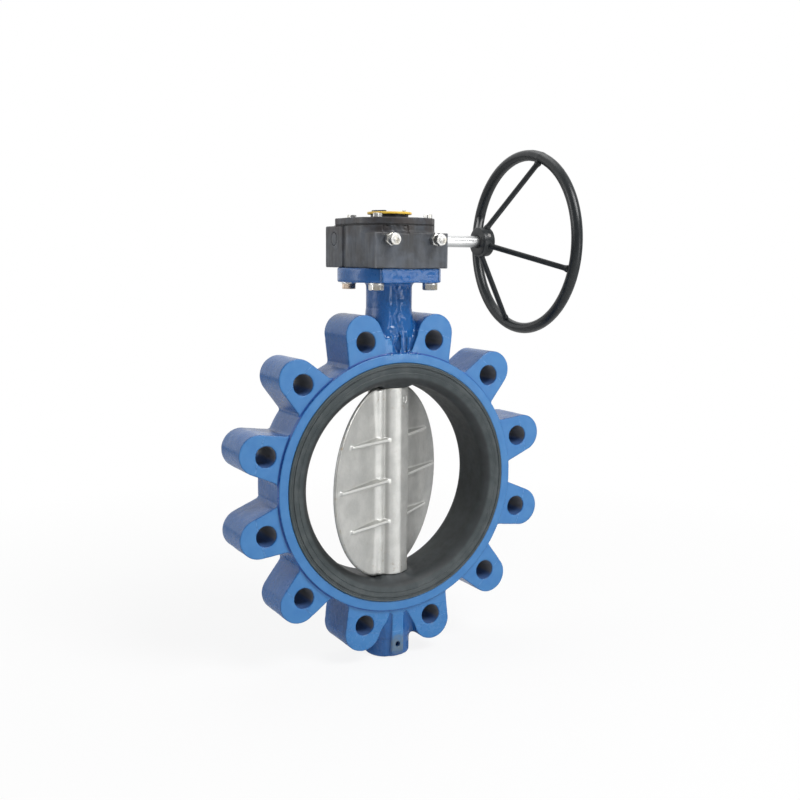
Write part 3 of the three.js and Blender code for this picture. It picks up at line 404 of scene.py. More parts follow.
class Shader(Tree):
    """A material with a Principled shader, built up by a few short calls."""

    def __init__(self, name, color, roughness, metallic=0.0, specular=0.5):
        MATERIALS[name] = bpy.data.materials.new(name)
        super().__init__(MATERIALS[name])
        self.color = color
        self.surface = self.nodes["Principled BSDF"].inputs
        names = ("Base Color", "Roughness", "Metallic", "Specular IOR Level")
        for key, value in zip(names, (color, roughness, metallic, specular)):
            self.fill(self.surface[key], value)
        self.place = self.run("ShaderNodeVectorMath", {
            0: self.run("ShaderNodeTexCoord", {}, "Object"), "Scale": 1 / MM,
        }, operation="SCALE")
        parts = self.add("ShaderNodeSeparateXYZ")
        self.links.new(self.place, parts.inputs[0])
        self.x, self.y, self.z = parts.outputs

    def noise(self, size, detail, roughness=0.5, stretch=(1, 1, 1)):
        vector = self.run("ShaderNodeMapping", {"Vector": self.place, "Scale": stretch})
        inputs = {"Vector": vector, "Scale": 1 / size, "Detail": detail, "Roughness": roughness}
        return self.run("ShaderNodeTexNoise", inputs)

    def spots(self, size, detail, low, high, to_low=0.0, to_high=1.0, **grain):
        """Noise, mapped from a range of its own to another one."""
        return self.band(self.noise(size, detail, **grain), low, high, to_low, to_high)

    def near(self, value, middle, low, high):
        return self.band(self.math("ABSOLUTE", self.math("SUBTRACT", value, middle)), low, high)

    def ring_distance(self):
        """How far a point lies from the axis of the pipe."""
        return self.math("SQRT", self.math("ADD", self.times(self.x, self.x), self.times(self.z, self.z)))

    def mix(self, share, first, second):
        """Mixes two colors, which are inputs 6 and 7 of the node."""
        return self.run("ShaderNodeMix", {0: share, 6: first, 7: second}, 2, data_type="RGBA")

    def mark(self, name):
        """Reads a value that the mesh carries on its points."""
        return self.add("ShaderNodeAttribute", attribute_name=name).outputs["Fac"]

    def layer(self, share, color):
        self.color = self.mix(share, self.color, color)

    def paint(self, roughness=None):
        self.links.new(self.color, self.surface["Base Color"])
        if roughness is not None:
            self.links.new(roughness, self.surface["Roughness"])

    def bump(self, height, distance, strength):
        """Adds bump, where height runs from 0 to 1 over a distance in millimetres."""
        inputs = {"Height": height, "Distance": distance * MM, "Strength": strength}
        if self.surface["Normal"].is_linked:
            inputs["Normal"] = self.surface["Normal"].links[0].from_socket
        self.links.new(self.run("ShaderNodeBump", inputs), self.surface["Normal"])

    def grain(self, size, detail, distance, strength):
        self.bump(self.noise(size, detail), distance, strength)


def blue_paint():
    deep = (0.009, 0.096, 0.315)
    look = Shader("blue_paint", deep, 0.25)
    machined = look.mark("machined")
    cast = look.mix(look.spots(24, 4, 0.35, 0.7), deep, (0.02, 0.11, 0.32))
    face = look.mix(look.spots(15, 4, 0.3, 0.75), (0.05, 0.208, 0.485), (0.036, 0.18, 0.455))
    look.color = look.mix(machined, cast, face)
    radius = look.ring_distance()
    # Painted highlight: a lighter blue line along the outer edge of the turned lug faces.
    turned_edge_highlight = look.times(look.near(radius, MACHINED_RADIUS, 0.6, 0.1), machined)
    look.layer(look.times(turned_edge_highlight, 0.55), (0.2, 0.4, 0.72))
    # Painted shade: a darker blue line in the step between the lug faces and the raised ring.
    front = look.band(look.math("ABSOLUTE", look.y), LUG_FACE - 0.9, LUG_FACE - 0.5)
    step = look.near(radius, RING_RADIUS + 0.45, 1.1, 0.4)
    look.layer(look.times(step, front), (0.012, 0.075, 0.33))
    chips = look.times(look.spots(2.6, 3, 0.7, 0.74, 0, 0.7, roughness=0.6), look.mark("edge"))
    look.layer(chips, (0.06, 0.04, 0.035))
    worn = look.times(look.mark("worn"), look.spots(6, 4, 0.2, 0.6, 0.4, 0.9))
    look.layer(worn, (0.12, 0.175, 0.23))
    dull = look.spots(9, 4, 0.3, 0.8, 0.24, 0.36)
    dull = look.math("SUBTRACT", dull, look.times(look.mark("wet"), 0.16))
    look.paint(look.math("ADD", dull, look.times(machined, 0.14)))
    look.grain(3, 3, 0.05, 0.25)
    uneven = look.math("SUBTRACT", 1.0, machined)
    look.bump(look.times(look.noise(12, 2), uneven), 0.5, 0.4)


def hole_paint():
    """Bare dark walls in the lug holes, blue on their lower side, with painted shade on the walls that face
    -X.
    """
    look = Shader("hole_paint", (0.26, 0.26, 0.26), 0.8, specular=0.1)
    look.color = look.mix(look.spots(7, 3, 0.35, 0.7), (0.5, 0.49, 0.48), (0.4, 0.4, 0.41))
    # Painted shade: the walls facing -X, which the fill lamp lights, are a darker grey.
    look.layer(look.mark("side"), (0.22, 0.22, 0.22))
    look.layer(look.mark("low"), (0.065, 0.13, 0.31))
    look.paint()
    look.grain(2.5, 3, 0.15, 0.6)


def black_paint():
    look = Shader("black_paint", (0.04, 0.043, 0.048), 0.45, specular=0.4)
    look.color = look.mix(look.spots(22, 3, 0.3, 0.7), (0.042, 0.044, 0.047), (0.08, 0.092, 0.112))
    streaks = look.spots(3.2, 3, 0.45, 0.75, 0, 0.35, stretch=(1, 1, 0.1))
    look.layer(streaks, (0.09, 0.1, 0.116))
    rusty = look.times(look.band(look.z, 290, 304, 0, 0.7), look.spots(14, 3, 0.3, 0.6))
    look.layer(rusty, (0.04, 0.031, 0.028))
    look.layer(look.mark("edge"), (0.23, 0.24, 0.26))
    look.paint(look.spots(5, 3, 0.3, 0.7, 0.34, 0.56, stretch=(1, 1, 0.12)))
    look.grain(2.2, 3, 0.1, 0.5)
    look.grain(9, 2, 0.5, 0.5)


def wheel_paint():
    look = Shader("wheel_paint", (0.014, 0.017, 0.019), 0.32, specular=0.4)
    look.color = look.mix(look.spots(8, 4, 0.45, 0.8), (0.012, 0.015, 0.017), (0.02, 0.024, 0.026))
    look.paint(look.spots(6, 3, 0.3, 0.8, 0.29, 0.36))
    look.grain(12, 2, 0.1, 0.3)


def seat_rubber():
    look = Shader("seat_rubber", (0.03, 0.036, 0.038), 0.55, specular=0.3)
    radius = look.ring_distance()
    bloom = look.spots(14, 4, 0.35, 0.75)
    # Painted shade: the bore inside the lip gets a darker copy of the rubber's colour than the lip.
    inner = look.mix(bloom, (0.036, 0.04, 0.042), (0.045, 0.052, 0.055))
    outer = look.mix(bloom, (0.054, 0.066, 0.07), (0.08, 0.093, 0.096))
    look.color = look.mix(look.band(radius, BORE + 5.5, BORE + 9.6), inner, outer)
    # Painted highlight: a lighter band along the outer edge of the lip.
    bright = look.band(radius, SEAT_LIP - 1.8, SEAT_LIP - 0.5, 0, 0.6)
    look.layer(bright, (0.13, 0.165, 0.165))
    look.paint(look.spots(6, 4, 0.3, 0.8, 0.48, 0.6))
    rings = look.run("ShaderNodeCombineXYZ", {0: radius, 1: look.y})
    look.bump(look.run("ShaderNodeTexNoise", {"Vector": rings, "Scale": 0.9, "Detail": 3.0}), 0.16, 0.5)
    look.grain(1.4, 3, 0.06, 0.6)


def cast_stainless():
    look = Shader("cast_stainless", (0.56, 0.56, 0.53), 0.42, metallic=0.85)
    look.color = look.mix(look.spots(20, 4, 0.3, 0.75), (0.58, 0.585, 0.565), (0.7, 0.7, 0.675))
    look.layer(look.spots(1.6, 2, 0.7, 0.78, 0, 0.4), (0.3, 0.29, 0.27))
    # Painted shade on the rib faces above the crests, the sides of the hub and the rim's bevel.
    look.layer(look.mark("grime"), (0.3, 0.3, 0.285))
    # Painted highlight along the crests of the ribs.
    look.layer(look.mark("crest"), (0.9, 0.9, 0.87))
    stain = look.times(look.spots(8, 5, 0.54, 0.72, 0, 0.65, roughness=0.65), look.mark("edge"))
    look.layer(stain, (0.3, 0.22, 0.13))
    look.paint(look.spots(3, 4, 0.25, 0.75, 0.42, 0.58))
    look.grain(1.5, 4, 0.12, 0.6)
    look.grain(5, 3, 0.3, 0.5)


def turned_metal(name, color, roughness):
    """Steel or bronze with fine turning marks round the stem's axis."""
    look = Shader(name, color, roughness, metallic=1.0)
    marks = look.noise(1, 3, stretch=(0.15, 0.15, 1.6))
    look.color = look.mix(look.spots(7, 4, 0.4, 0.8), color, tuple(value * 0.72 for value in color))
    look.paint(look.band(marks, 0.25, 0.75, roughness - 0.08, roughness + 0.12))
    look.bump(marks, 0.03, 0.5)


def zinc(name, bright, warm):
    look = Shader(name, bright, 0.3, metallic=1.0)
    look.color = look.mix(look.spots(7, 3, 0.45, 0.8), bright, warm)
    dirt = look.spots(4, 4, 0.66, 0.8, 0, 0.6, roughness=0.6)
    look.layer(dirt, (0.22, 0.17, 0.12))
    look.paint(look.spots(3, 3, 0.3, 0.8, 0.26, 0.4))
    look.grain(1.5, 3, 0.02, 0.5)


def bright_steel():
    """The drawn bar of the input shaft, with faint streaks along it."""
    look = Shader("bright_steel", (0.88, 0.89, 0.89), 0.3, metallic=1.0)
    streaks = look.spots(1.6, 3, 0.3, 0.7, stretch=(0.06, 1, 1))
    look.color = look.mix(streaks, (0.84, 0.85, 0.85), (0.92, 0.93, 0.93))
    # Painted shade: the shaft is darker below its axis.
    look.layer(look.band(look.z, SHAFT_Z - 1.5, SHAFT_Z - 6, 0, 0.7), (0.4, 0.41, 0.41))
    look.paint(look.spots(2.5, 3, 0.3, 0.7, 0.26, 0.36, stretch=(0.1, 1, 1)))


def plain_stuff(name, color, other, roughness, grain, metallic=0.0):
    """Plastic, rubber or iron with a fine grain."""
    look = Shader(name, color, roughness, metallic)
    look.color = look.mix(look.spots(6, 4, 0.35, 0.75), color, other)
    look.paint(look.spots(3, 3, 0.3, 0.7, roughness - 0.07, roughness + 0.1))
    look.grain(grain, 3, 0.08, 0.6)


for make in (blue_paint, hole_paint, black_paint, wheel_paint, seat_rubber, cast_stainless, bright_steel):
    make()
turned_metal("stem_steel", (0.62, 0.63, 0.64), 0.28)
turned_metal("bronze", (0.55, 0.36, 0.16), 0.34)
zinc("zinc_plated", (0.74, 0.74, 0.72), (0.66, 0.6, 0.46))
zinc("tarnished_zinc", (0.5, 0.41, 0.33), (0.31, 0.25, 0.2))
zinc("dull_zinc", (0.5, 0.5, 0.49), (0.42, 0.39, 0.32))
plain_stuff("seal_rubber", (0.02, 0.02, 0.02), (0.035, 0.035, 0.035), 0.6, 1.5)
plain_stuff("cast_iron", (0.2, 0.2, 0.2), (0.12, 0.11, 0.1), 0.5, 1.2, 0.8)
plain_stuff("yellow_plastic", (0.98, 0.66, 0.1), (0.94, 0.58, 0.07), 0.35, 2.0)
plain_stuff("black_plastic", (0.014, 0.015, 0.016), (0.026, 0.027, 0.028), 0.42, 1.5)


def carried_over():
    """Gives each CAD node its procedural material."""
    for part in frame["record"]["subparts"]:
        node = frame["nodes"][part["node"]]
        node.data.materials.clear()
        node.data.materials.append(MATERIALS[part["material_slot"]])


# The body casting.
def bore_corners(solid, x, y, offset, radius, beyond, rounding):
    """Cuts a hole in each corner of a square, where beyond is negative."""
    for sign_x, sign_y in CORNERS:
        hole = hypot(x - sign_x * offset, y - sign_y * offset) - radius
        solid = cut(solid, maximum(hole, beyond), rounding)
    return solid


def lug_ring(radius, angle):
    """The drum with its lugs, in the plane of the ring."""
    pitch = 2 * math.pi / LUG_COUNT
    fold = np.mod(angle, pitch) - pitch / 2
    out = radius * np.cos(fold) - LUG_CENTRE
    side = abs(radius * np.sin(fold))
    flare = math.radians(LUG_FLARE)
    flank = math.sin(flare) * out + math.cos(flare) * side
    inward = -math.cos(flare) * out + math.sin(flare) * side
    lug = np.where(inward > 0, flank, hypot(out, side)) - LUG_END
    hole = hypot(radius * np.cos(fold) - LUG_CIRCLE, side) - LUG_HOLE
    return join(radius - DRUM_RADIUS, lug, LUG_FILLET), hole


def cone(across, along, start, start_radius, end, end_radius):
    """A round frustum, from its distance across the axis and its place along it."""
    slope = (end_radius - start_radius) / (end - start)
    side = (across - start_radius - slope * (along - start)) / math.hypot(1, slope)
    return maximum(side, slab(along, start, end))


def foot_front(x):
    """How far forward the neck and the boss come between the lugs: flush with the left one."""
    return FOOT_FRONT + (LUG_FACE - FOOT_FRONT) * ramp(-x, 9, 20)


def seam_place(z):
    """The wavy middle of the rough seam down the front of the neck."""
    return -2.4 + 1.9 * np.sin(z / 5.6 + 0.5) + 0.8 * np.sin(z / 2.7)


def body_neck(x, y, z):
    across = hypot(x, y)
    tube = maximum(across - NECK_RADIUS, slab(z, CAST_FOOT, FLANGE_TOP - 2))
    flare = cone(across, z, CAST_FOOT, NECK_FLARE, NECK_FLARE_TOP, NECK_RADIUS - 2)
    ridges = sum(np.exp(-((x - place) / 2.3) ** 2) for place in FOOT_RIDGES)
    ridges = ridges * ramp(-z, -188, -176) * (y < 0)
    front = foot_front(x) + 3.4 * minimum(ridges, 1)
    foot = maximum(across - NECK_FLARE, slab(z, CAST_FOOT, 176))
    left = ramp(-x, 8, 15)
    slope = 0.55 + 0.65 * left
    lean = (abs(y) - front + slope * maximum(z - 158 - 24 * left, 0)) / hypot(1, slope)
    flare = meet(flare, minimum(abs(y) - front, 40), 3)
    flare = join(flare, meet(foot, lean, 2), 4)
    return join(tube, flare, 5)


def top_flange(x, y, z):
    across = hypot(x, y)
    round_part = maximum(across - FLANGE_RADIUS, -FLANGE_FRONT - y)
    pad = maximum(abs(x) - FLANGE_PAD_HALF_WIDTH, slab(y, -FLANGE_FRONT, 0))
    outline = minimum(round_part, pad)
    return meet(outline, slab(z, FLANGE_BOTTOM, FLANGE_TOP), 2)


def bottom_boss(x, y, z):
    across = hypot(x, y)
    down = -z
    tube = meet(across - BOSS_RADIUS, slab(down, CAST_FOOT, BOSS_BOTTOM), 4)
    flare = cone(across, down, CAST_FOOT, BOSS_FLARE, BOSS_FLARE_FOOT, BOSS_RADIUS - 1)
    flare = meet(flare, abs(y) - foot_front(x), 3)
    web = meet(abs(x) - BOSS_WEB_HALF_WIDTH, slab(-y, 0, BOSS_WEB_FRONT), 2.5)
    web = meet(web, slab(down, CAST_FOOT, BOSS_BOTTOM - 4), 2.5)
    return join(join(tube, flare, 6), web, 1.2)


def body_field(x, y, z):
    radius = hypot(x, z)
    angle = np.arctan2(z, x)
    outline, hole = lug_ring(radius, angle)
    step = MACHINED_STEP * ramp(radius, MACHINED_RADIUS - 0.5, MACHINED_RADIUS + 0.5)
    drum = meet(outline, abs(y) - LUG_FACE + step, 0.8)
    raised = meet(radius - RING_RADIUS, abs(y) - RING_FACE, 0.6)
    solid = join(drum, body_neck(x, y, z), 3)
    solid = join(solid, bottom_boss(x, y, z), 10)
    solid = maximum(solid, np.where(radius < FLANGE_BOTTOM - 20, abs(y) - LUG_FACE, solid))
    solid = join(solid, top_flange(x, y, z), 5)
    solid = join(solid, raised, 0.5)
    across = hypot(x, y)
    narrow = radius - SEAT_OUTER - GAP
    wide = maximum(radius - SEAT_LIP - GAP, SEAT_SHOULDER - GAP - abs(y))
    solid = cut(solid, minimum(narrow, wide), 0.5)
    solid = cut(solid, hole, 0.9)
    stem = minimum(across - STEM_BORE, maximum(across - NECK_BORE, NECK_BORE_FOOT - z))
    groove = maximum(across - NECK_BORE, abs(z + RING_GROOVE) - RING_GROOVE_HALF)
    plug = maximum(across - PLUG_BORE, z + PLUG_TOP)
    solid = cut(solid, minimum(minimum(stem, groove), plug), 0.4)
    solid = bore_corners(solid, x, y, MOUNT_BOLT_OFFSET, FLANGE_BOLT_HOLE, FLANGE_BOTTOM - 4 - z, 0.3)
    pin = maximum(hypot(x, z + PIN_DROP) - PIN_RADIUS - GAP, y + PIN_INNER - GAP)
    return cut(solid, pin, 0.5)


def machined_share(points, normals):
    """Where the casting was turned flat: the lug faces and the ring faces."""
    x, y, z = points.T
    radius = hypot(x, z)
    flat = ramp(abs(normals[:, 1]), 0.86, 0.97) * (radius < LUG_CENTRE + LUG_END + 1)
    return flat * ramp(abs(y), LUG_FACE - 1.3, LUG_FACE - 0.7)


def neck_front(points):
    return ramp(-points[:, 1], 10, 22) * (1 - ramp(points[:, 2], FLANGE_BOTTOM - 3, FLANGE_BOTTOM + 1))


def seam_share(points):
    """The rough strip down the front of the neck, wider at its foot."""
    x, z = points[:, 0], points[:, 2]
    front = neck_front(points) * (z > 150)
    spread = 9 * (1 - ramp(z, 176, 196))
    return front * ramp(x, -14 - spread, -9 - spread) * (1 - ramp(x, 12 + spread, 18 + spread))


def body_roughness(points, normals):
    """How deep the cast surface lies under the plain shape."""
    x, y, z = points.T
    radius = hypot(x, z)
    inner = (radius < SEAT_LIP + 2) | (hypot(x, y) < NECK_BORE + 1)
    flat = machined_share(points, normals)
    top = ramp(normals[:, 2], 0.9, 0.99) * (z > FLANGE_TOP - 3)
    rough = np.where(inner, 0, 1 - maximum(flat, top))
    lumps = 0.35 * noise(points, 18, 1) + 0.18 * noise(points, 6, 2)
    seam = seam_share(points)
    ripple = 2.0 * noise(points * (1, 1, 0.8), 4.8, 3) + 0.8 * noise(points, 2.8, 4)
    crease = 2.1 * np.exp(-((x - seam_place(z)) / 1.2) ** 2) * (0.4 + noise(points, 9, 5))
    pad = ramp(-y, FLANGE_FRONT - 1.2, FLANGE_FRONT - 0.6) * (z > FLANGE_BOTTOM + 1)
    pad = pad * (0.9 * noise(points, 5, 6) + 0.4 * noise(points, 2.9, 7))
    boss = neck_front(points) * (abs(x) < 14) * (z < -158) * 0.7 * noise(points * (1, 1, 0.5), 4.5, 8)
    return rough * (lumps + seam * (ripple + crease) + pad + boss)


def valve_casting():
    reach = LUG_CENTRE + LUG_END
    low = (-reach, -FLANGE_RADIUS, -BOSS_BOTTOM)
    high = (reach, FLANGE_RADIUS, FLANGE_TOP)
    made, quads, plain, points, normals = casting(
        "cast_body", body_field, body_roughness, low, high, 1.25, "blue_paint")
    machined = machined_share(plain, normals)
    outline, hole = lug_ring(hypot(plain[:, 0], plain[:, 2]), np.arctan2(plain[:, 2], plain[:, 0]))
    edge = maximum(1 - abs(outline + 0.5) / 2.5, 1 - abs(hole) / 2.0)
    x, y, z = points.T
    pad = ramp(-y, FLANGE_FRONT - 3, FLANGE_FRONT - 2) * (z > FLANGE_BOTTOM)
    wet = maximum(seam_share(points), 0.3 * pad)
    wet = maximum(wet, ramp(-y, 20, 26) * (z < -DRUM_RADIUS))
    worn = ramp(-y, BOSS_WEB_FRONT - 3, BOSS_WEB_FRONT - 1)
    worn = worn * (z < -DRUM_RADIUS) * (1 - ramp(hypot(x, z + PIN_DROP), 9, 15))
    low_side = ramp(normals[:, 2], 0.25, 0.7) * (hole < 0.35)
    # Painted shade: marks the hole walls that face -X, which the fill lamp lights, for darkening.
    side = ramp(-normals[:, 0], 0.1, 0.7) * (hole < 0.35)
    edge = np.clip(edge, 0, 1)
    leave_marks(made, machined=machined, edge=edge, wet=wet, worn=worn, low=low_side, side=side)
    made.data.materials.append(MATERIALS["hole_paint"])
    inside = (hole < 0.35) & (abs(y) < LUG_FACE - 1.2)
    made.data.polygons.foreach_set("material_index", inside[quads].all(axis=1).astype(np.int32))
    dress(made, BODY, "blue_paint", "body_casting")


# Turned pieces, and pieces made of rings of points.
def section(inner, outer, start, end):
    return [(inner, start), (outer, start), (outer, end), (inner, end)]


def soften(profile, radius, steps=4, closed=False):
    """Rounds the corners of a profile of [radius, place] points."""
    points = [np.array(point, float) for point in profile]
    made = []
    for i, corner in enumerate(points):
        sides = [points[i - 1] - corner, points[(i + 1) % len(points)] - corner]
        lengths = [np.linalg.norm(side) for side in sides]
        units = [side / length for side, length in zip(sides, lengths)]
        half = math.acos(np.clip(units[0] @ units[1], -1, 1)) / 2
        if half > math.radians(86) or not (closed or 0 < i < len(points) - 1):
            made.append(tuple(corner))
            continue
        reach = min(radius / math.tan(half), 0.45 * min(lengths))
        start, end = corner + units[0] * reach, corner + units[1] * reach
        for share in np.linspace(0, 1, steps + 1):
            bend = (1 - share) ** 2 * start + 2 * share * (1 - share) * corner + share**2 * end
            made.append(tuple(bend))
    return made


def side_angles(sides):
    return np.arange(sides) * 2 * math.pi / sides


def ring_shell(rings, sides, closed=False):
    """One surface through rings of (radius, place), each a number or one value for each side.
    A ring of radius 0 closes an end."""
    cos, sin = np.cos(side_angles(sides)), np.sin(side_angles(sides))
    points, rows = [], []
    for radius, place in rings:
        count = 1 if np.ndim(radius) == 0 and radius == 0 else sides
        rows.append(np.resize(np.arange(len(points), len(points) + count), sides))
        ring = np.broadcast_arrays(radius * cos, radius * sin, place)
        points += np.stack(ring, axis=1)[:count].tolist()
    faces = []
    for low, high in zip(rows, rows[1:] + rows[:closed]):
        ring = np.stack([low, np.roll(low, -1), np.roll(high, -1), high], axis=1)
        faces += [list(dict.fromkeys(face)) for face in ring.tolist()]
    return np.array(points), faces


ALONG = {
    "x": ([2, 0, 1], (1, 1, 1)), "y": ([1, 2, 0], (1, 1, 1)), "z": ([0, 1, 2], (1, 1, 1)),
    "-y": ([0, 2, 1], (1, -1, 1)), "-z": ([0, 1, 2], (1, -1, -1)),
}  # order and signs that turn the z axis to another one


def turned(name, node, body, finish, rings, sides, axis="z", place=(0, 0, 0), closed=False, angle=0,
           sharp=38, slot=None):
    """Makes a piece from rings of points, dressed as its CAD node."""
    points, faces = ring_shell(rings, sides, closed)
    order, signs = ALONG[axis]
    points = points[:, order] * signs + np.array(place)
    made = mesh_object(name, turn_about_z(points, angle), faces, finish)
    tidy_normals(made, sharp)
    dress(made, body, slot or finish, node)


def tidy_normals(made, sharp=38):
    """Points the faces outwards and splits the shading at sharp edges."""
    work = bmesh.new()
    work.from_mesh(made.data)
    bmesh.ops.recalc_face_normals(work, faces=work.faces)
    limit = math.radians(sharp)
    for edge in work.edges:
        edge.smooth = edge.calc_face_angle(0) < limit
    work.to_mesh(made.data)
    work.free()


def turn_about_z(points, angle):
    cos, sin = math.cos(math.radians(angle)), math.sin(math.radians(angle))
    x, y, z = np.asarray(points).T
    return np.stack([x * cos - y * sin, x * sin + y * cos, z], axis=1)


# The seat liner.
def seat_profile():
    """Half of the liner's section, from the middle of the bore to the back of its lip."""
    entry = [(0, 20), (0, 23.5), (0.5, 26.5), (3.2, 30.8), (6.6, 33.8), (9.4, 35.4)]
    entry = [(BORE + rise, place) for rise, place in entry]
    face = [(SEAT_GROOVES[0] - 1.3, SEAT_FACE - 0.25)]
    for radius, depth in zip(SEAT_GROOVES, SEAT_GROOVE_DEPTHS):
        face += [
            (radius - 0.95, SEAT_FACE), (radius - 0.35, SEAT_FACE - depth),
            (radius + 0.35, SEAT_FACE - depth), (radius + 0.95, SEAT_FACE),
        ]
    back = [(SEAT_LIP - 0.6, SEAT_FACE - 0.5), (SEAT_LIP, SEAT_FACE - 1.5), (SEAT_LIP, SEAT_SHOULDER)]
    return entry + face + back + [(SEAT_OUTER, SEAT_SHOULDER)]


def seat_liner():
    half = seat_profile()
    profile = half + [(radius, -place) for radius, place in reversed(half)]
    inner = [(BORE, place) for place in np.linspace(-16, 16, 13)]
    points, faces = ring_shell(profile + inner, 360, closed=True)
    points = swell_pads(points[:, ALONG["y"][0]])
    made = mesh_object("seat_lining", points, faces, "seat_rubber")
    tidy_normals(made, 50)
    reach = SEAT_OUTER + 5
    rod = ring_shell(section(0, STEM_BORE + 0.1, -reach, reach), 64)
    drill = mesh_object("drill", *rod, "seat_rubber")
    tidy_normals(drill)
    cutter = made.modifiers.new("hole", "BOOLEAN")
    cutter.object = drill
    cutter.operation = "DIFFERENCE"
    cutter.solver = "EXACT"
    bake(made)
    bpy.data.objects.remove(drill)
    dress(made, BODY, "seat_rubber", "seat_liner")


def bake(made):
    """Applies the modifiers of an object."""
    depsgraph = bpy.context.evaluated_depsgraph_get()
    mesh = bpy.data.meshes.new_from_object(made.evaluated_get(depsgraph))
    made.modifiers.clear()
    made.data = mesh


def swell_pads(points):
    """Raises the flat pads round the stem holes out of the bore."""
    x, y, z = points.T
    radius = hypot(x, z)
    bore = abs(radius - BORE) < 0.01
    off_axis = hypot(x, y)
    rise = ramp(PAD_FOOT - off_axis, 0, PAD_FOOT - PAD_FLAT)
    width = ramp(PAD_HALF_WIDTH - abs(y), 0, 3)
    flat = PAD_FACE * radius / maximum(abs(z), 1)
    share = rise * width * bore * (flat < BORE + 20)
    scale = 1 + share * (minimum(flat, BORE) / radius - 1)
    return np.stack([x * scale, y, z * scale], axis=1)


# The disc, in its own frame: flat in the XZ plane.
def rib_height(x, reach):
    """How fast a rib falls along its length, and how high it is at x."""
    run = (RIB_ROOT_HEIGHT - RIB_TIP_HEIGHT) / (reach - RIB_ROOT)
    return run, RIB_ROOT_HEIGHT - run * maximum(abs(x) - RIB_ROOT, 0)


def disc_field(x, y, z):
    radius = hypot(x, z)
    across = hypot(x, y)
    deep = abs(y)
    half = DISC_HALF - DISC_THINNING * ramp(radius, 70, DISC_RADIUS)
    slope = (DISC_HALF - DISC_THINNING - DISC_RIM_HALF) / DISC_BEVEL
    bevel = (deep - DISC_RIM_HALF - slope * (DISC_RADIUS - radius)) / math.hypot(1, slope)
    plate = meet(maximum(deep - half, bevel), radius - DISC_RADIUS, 0.6)
    edge = (BAND_FOOT_HALF_WIDTH - BAND_HALF_WIDTH) / BAND_HALF
    band = (abs(x) - BAND_FOOT_HALF_WIDTH + edge * deep) / math.hypot(1, edge)
    band = meet(band, deep - BAND_HALF, 3)
    band = meet(band, radius - DISC_RADIUS + 2, 2.5)
    hub = meet(across - HUB_RADIUS, deep - HUB_FLAT, 0.5)
    solid = join(join(plate, band, 3), hub, 2)
    for step in (-1, 0, 1):
        reach = OUTER_RIB_REACH if step else MIDDLE_RIB_REACH
        run, height = rib_height(x, reach)
        top = (deep - height) / math.hypot(1, run)
        side = abs(z - RIB_RISE - step * RIB_PITCH) - RIB_HALF - RIB_DRAFT * (height - deep)
        rib = meet(top, side / math.hypot(1, RIB_DRAFT), 0.9)
        rib = meet(rib, (abs(x) - reach + 0.5 * (deep - DISC_HALF)) / 1.12, 1.5)
        solid = join(solid, rib, 1.6)
    rise = (DISC_RADIUS - HUB_END) / (PAD_FOOT - PAD_FLAT)
    out = abs(z) - HUB_END
    ends = minimum(out, (out - rise * (across - PAD_FLAT)) / math.hypot(1, rise))
    solid = meet(solid, ends, 0.8)
    upper = maximum(across - STEM_BORE, UPPER_POCKET_FOOT - GAP - z)
    lower = maximum(across - STEM_BORE, z + LOWER_POCKET_TOP - GAP)
    bushing = maximum(across - DISC_BUSHING_BORE, z + HUB_END - DISC_BUSHING_LENGTH - GAP)
    solid = cut(solid, minimum(minimum(upper, lower), bushing), 0.5)
    pin = hypot(x, z - DISC_PIN_HEIGHT) - DISC_PIN_RADIUS - GAP
    return cut(solid, pin, 0.5)


def disc_roughness(points, normals):
    x, y, z = points.T
    inner = hypot(x, y) < 18
    rim = hypot(x, z) > DISC_RADIUS - 1.5
    lumps = 0.22 * noise(points, 9, 11) + 0.14 * noise(points, 3.6, 12)
    return np.where(inner | rim, 0, lumps)


def rib_marks(points, normals):
    """Painted highlight along the crests of the ribs, and painted shade on the faces above them, on the
    sides of the hub and on the rim's bevel.
    """
    x, y, z = points.T
    out, deep = abs(x), abs(y)
    fold = z - RIB_RISE - RIB_PITCH * np.clip(np.round((z - RIB_RISE) / RIB_PITCH), -1, 1)
    reach = np.where(abs(z - RIB_RISE) < RIB_PITCH / 2, MIDDLE_RIB_REACH, OUTER_RIB_REACH)
    height = rib_height(x, reach)[1]
    on_rib = (abs(fold) < 8) * (out < reach + 2) * (deep < height + 1)
    plain = np.where(out < BAND_HALF_WIDTH + 4, BAND_HALF, DISC_HALF) + 0.6
    on_rib = on_rib * ramp(deep, plain, plain + 0.8)
    crest = on_rib * ramp(deep, height - 1.1, height - 0.3) * (abs(fold) < RIB_HALF + 0.9)
    # Painted reflection of the dark liner, as shade on the rib faces that look up.
    grime = 0.75 * on_rib * ramp(normals[:, 2], 0.3, 0.7) * (1 - crest)
    # Painted shade on the sides of the hub and on the rim's bevel.
    hub_side = ramp(abs(normals[:, 0]), 0.15, 0.5) * ramp(out, 19, 22) * (out < 27.5)
    bevel = ramp(hypot(x, z), DISC_RADIUS - 2.2, DISC_RADIUS - 1.4)
    dull = maximum(0.6 * hub_side * (deep > BAND_HALF - 2), 0.5 * bevel)
    return 0.8 * crest, maximum(grime, dull * (1 - crest))


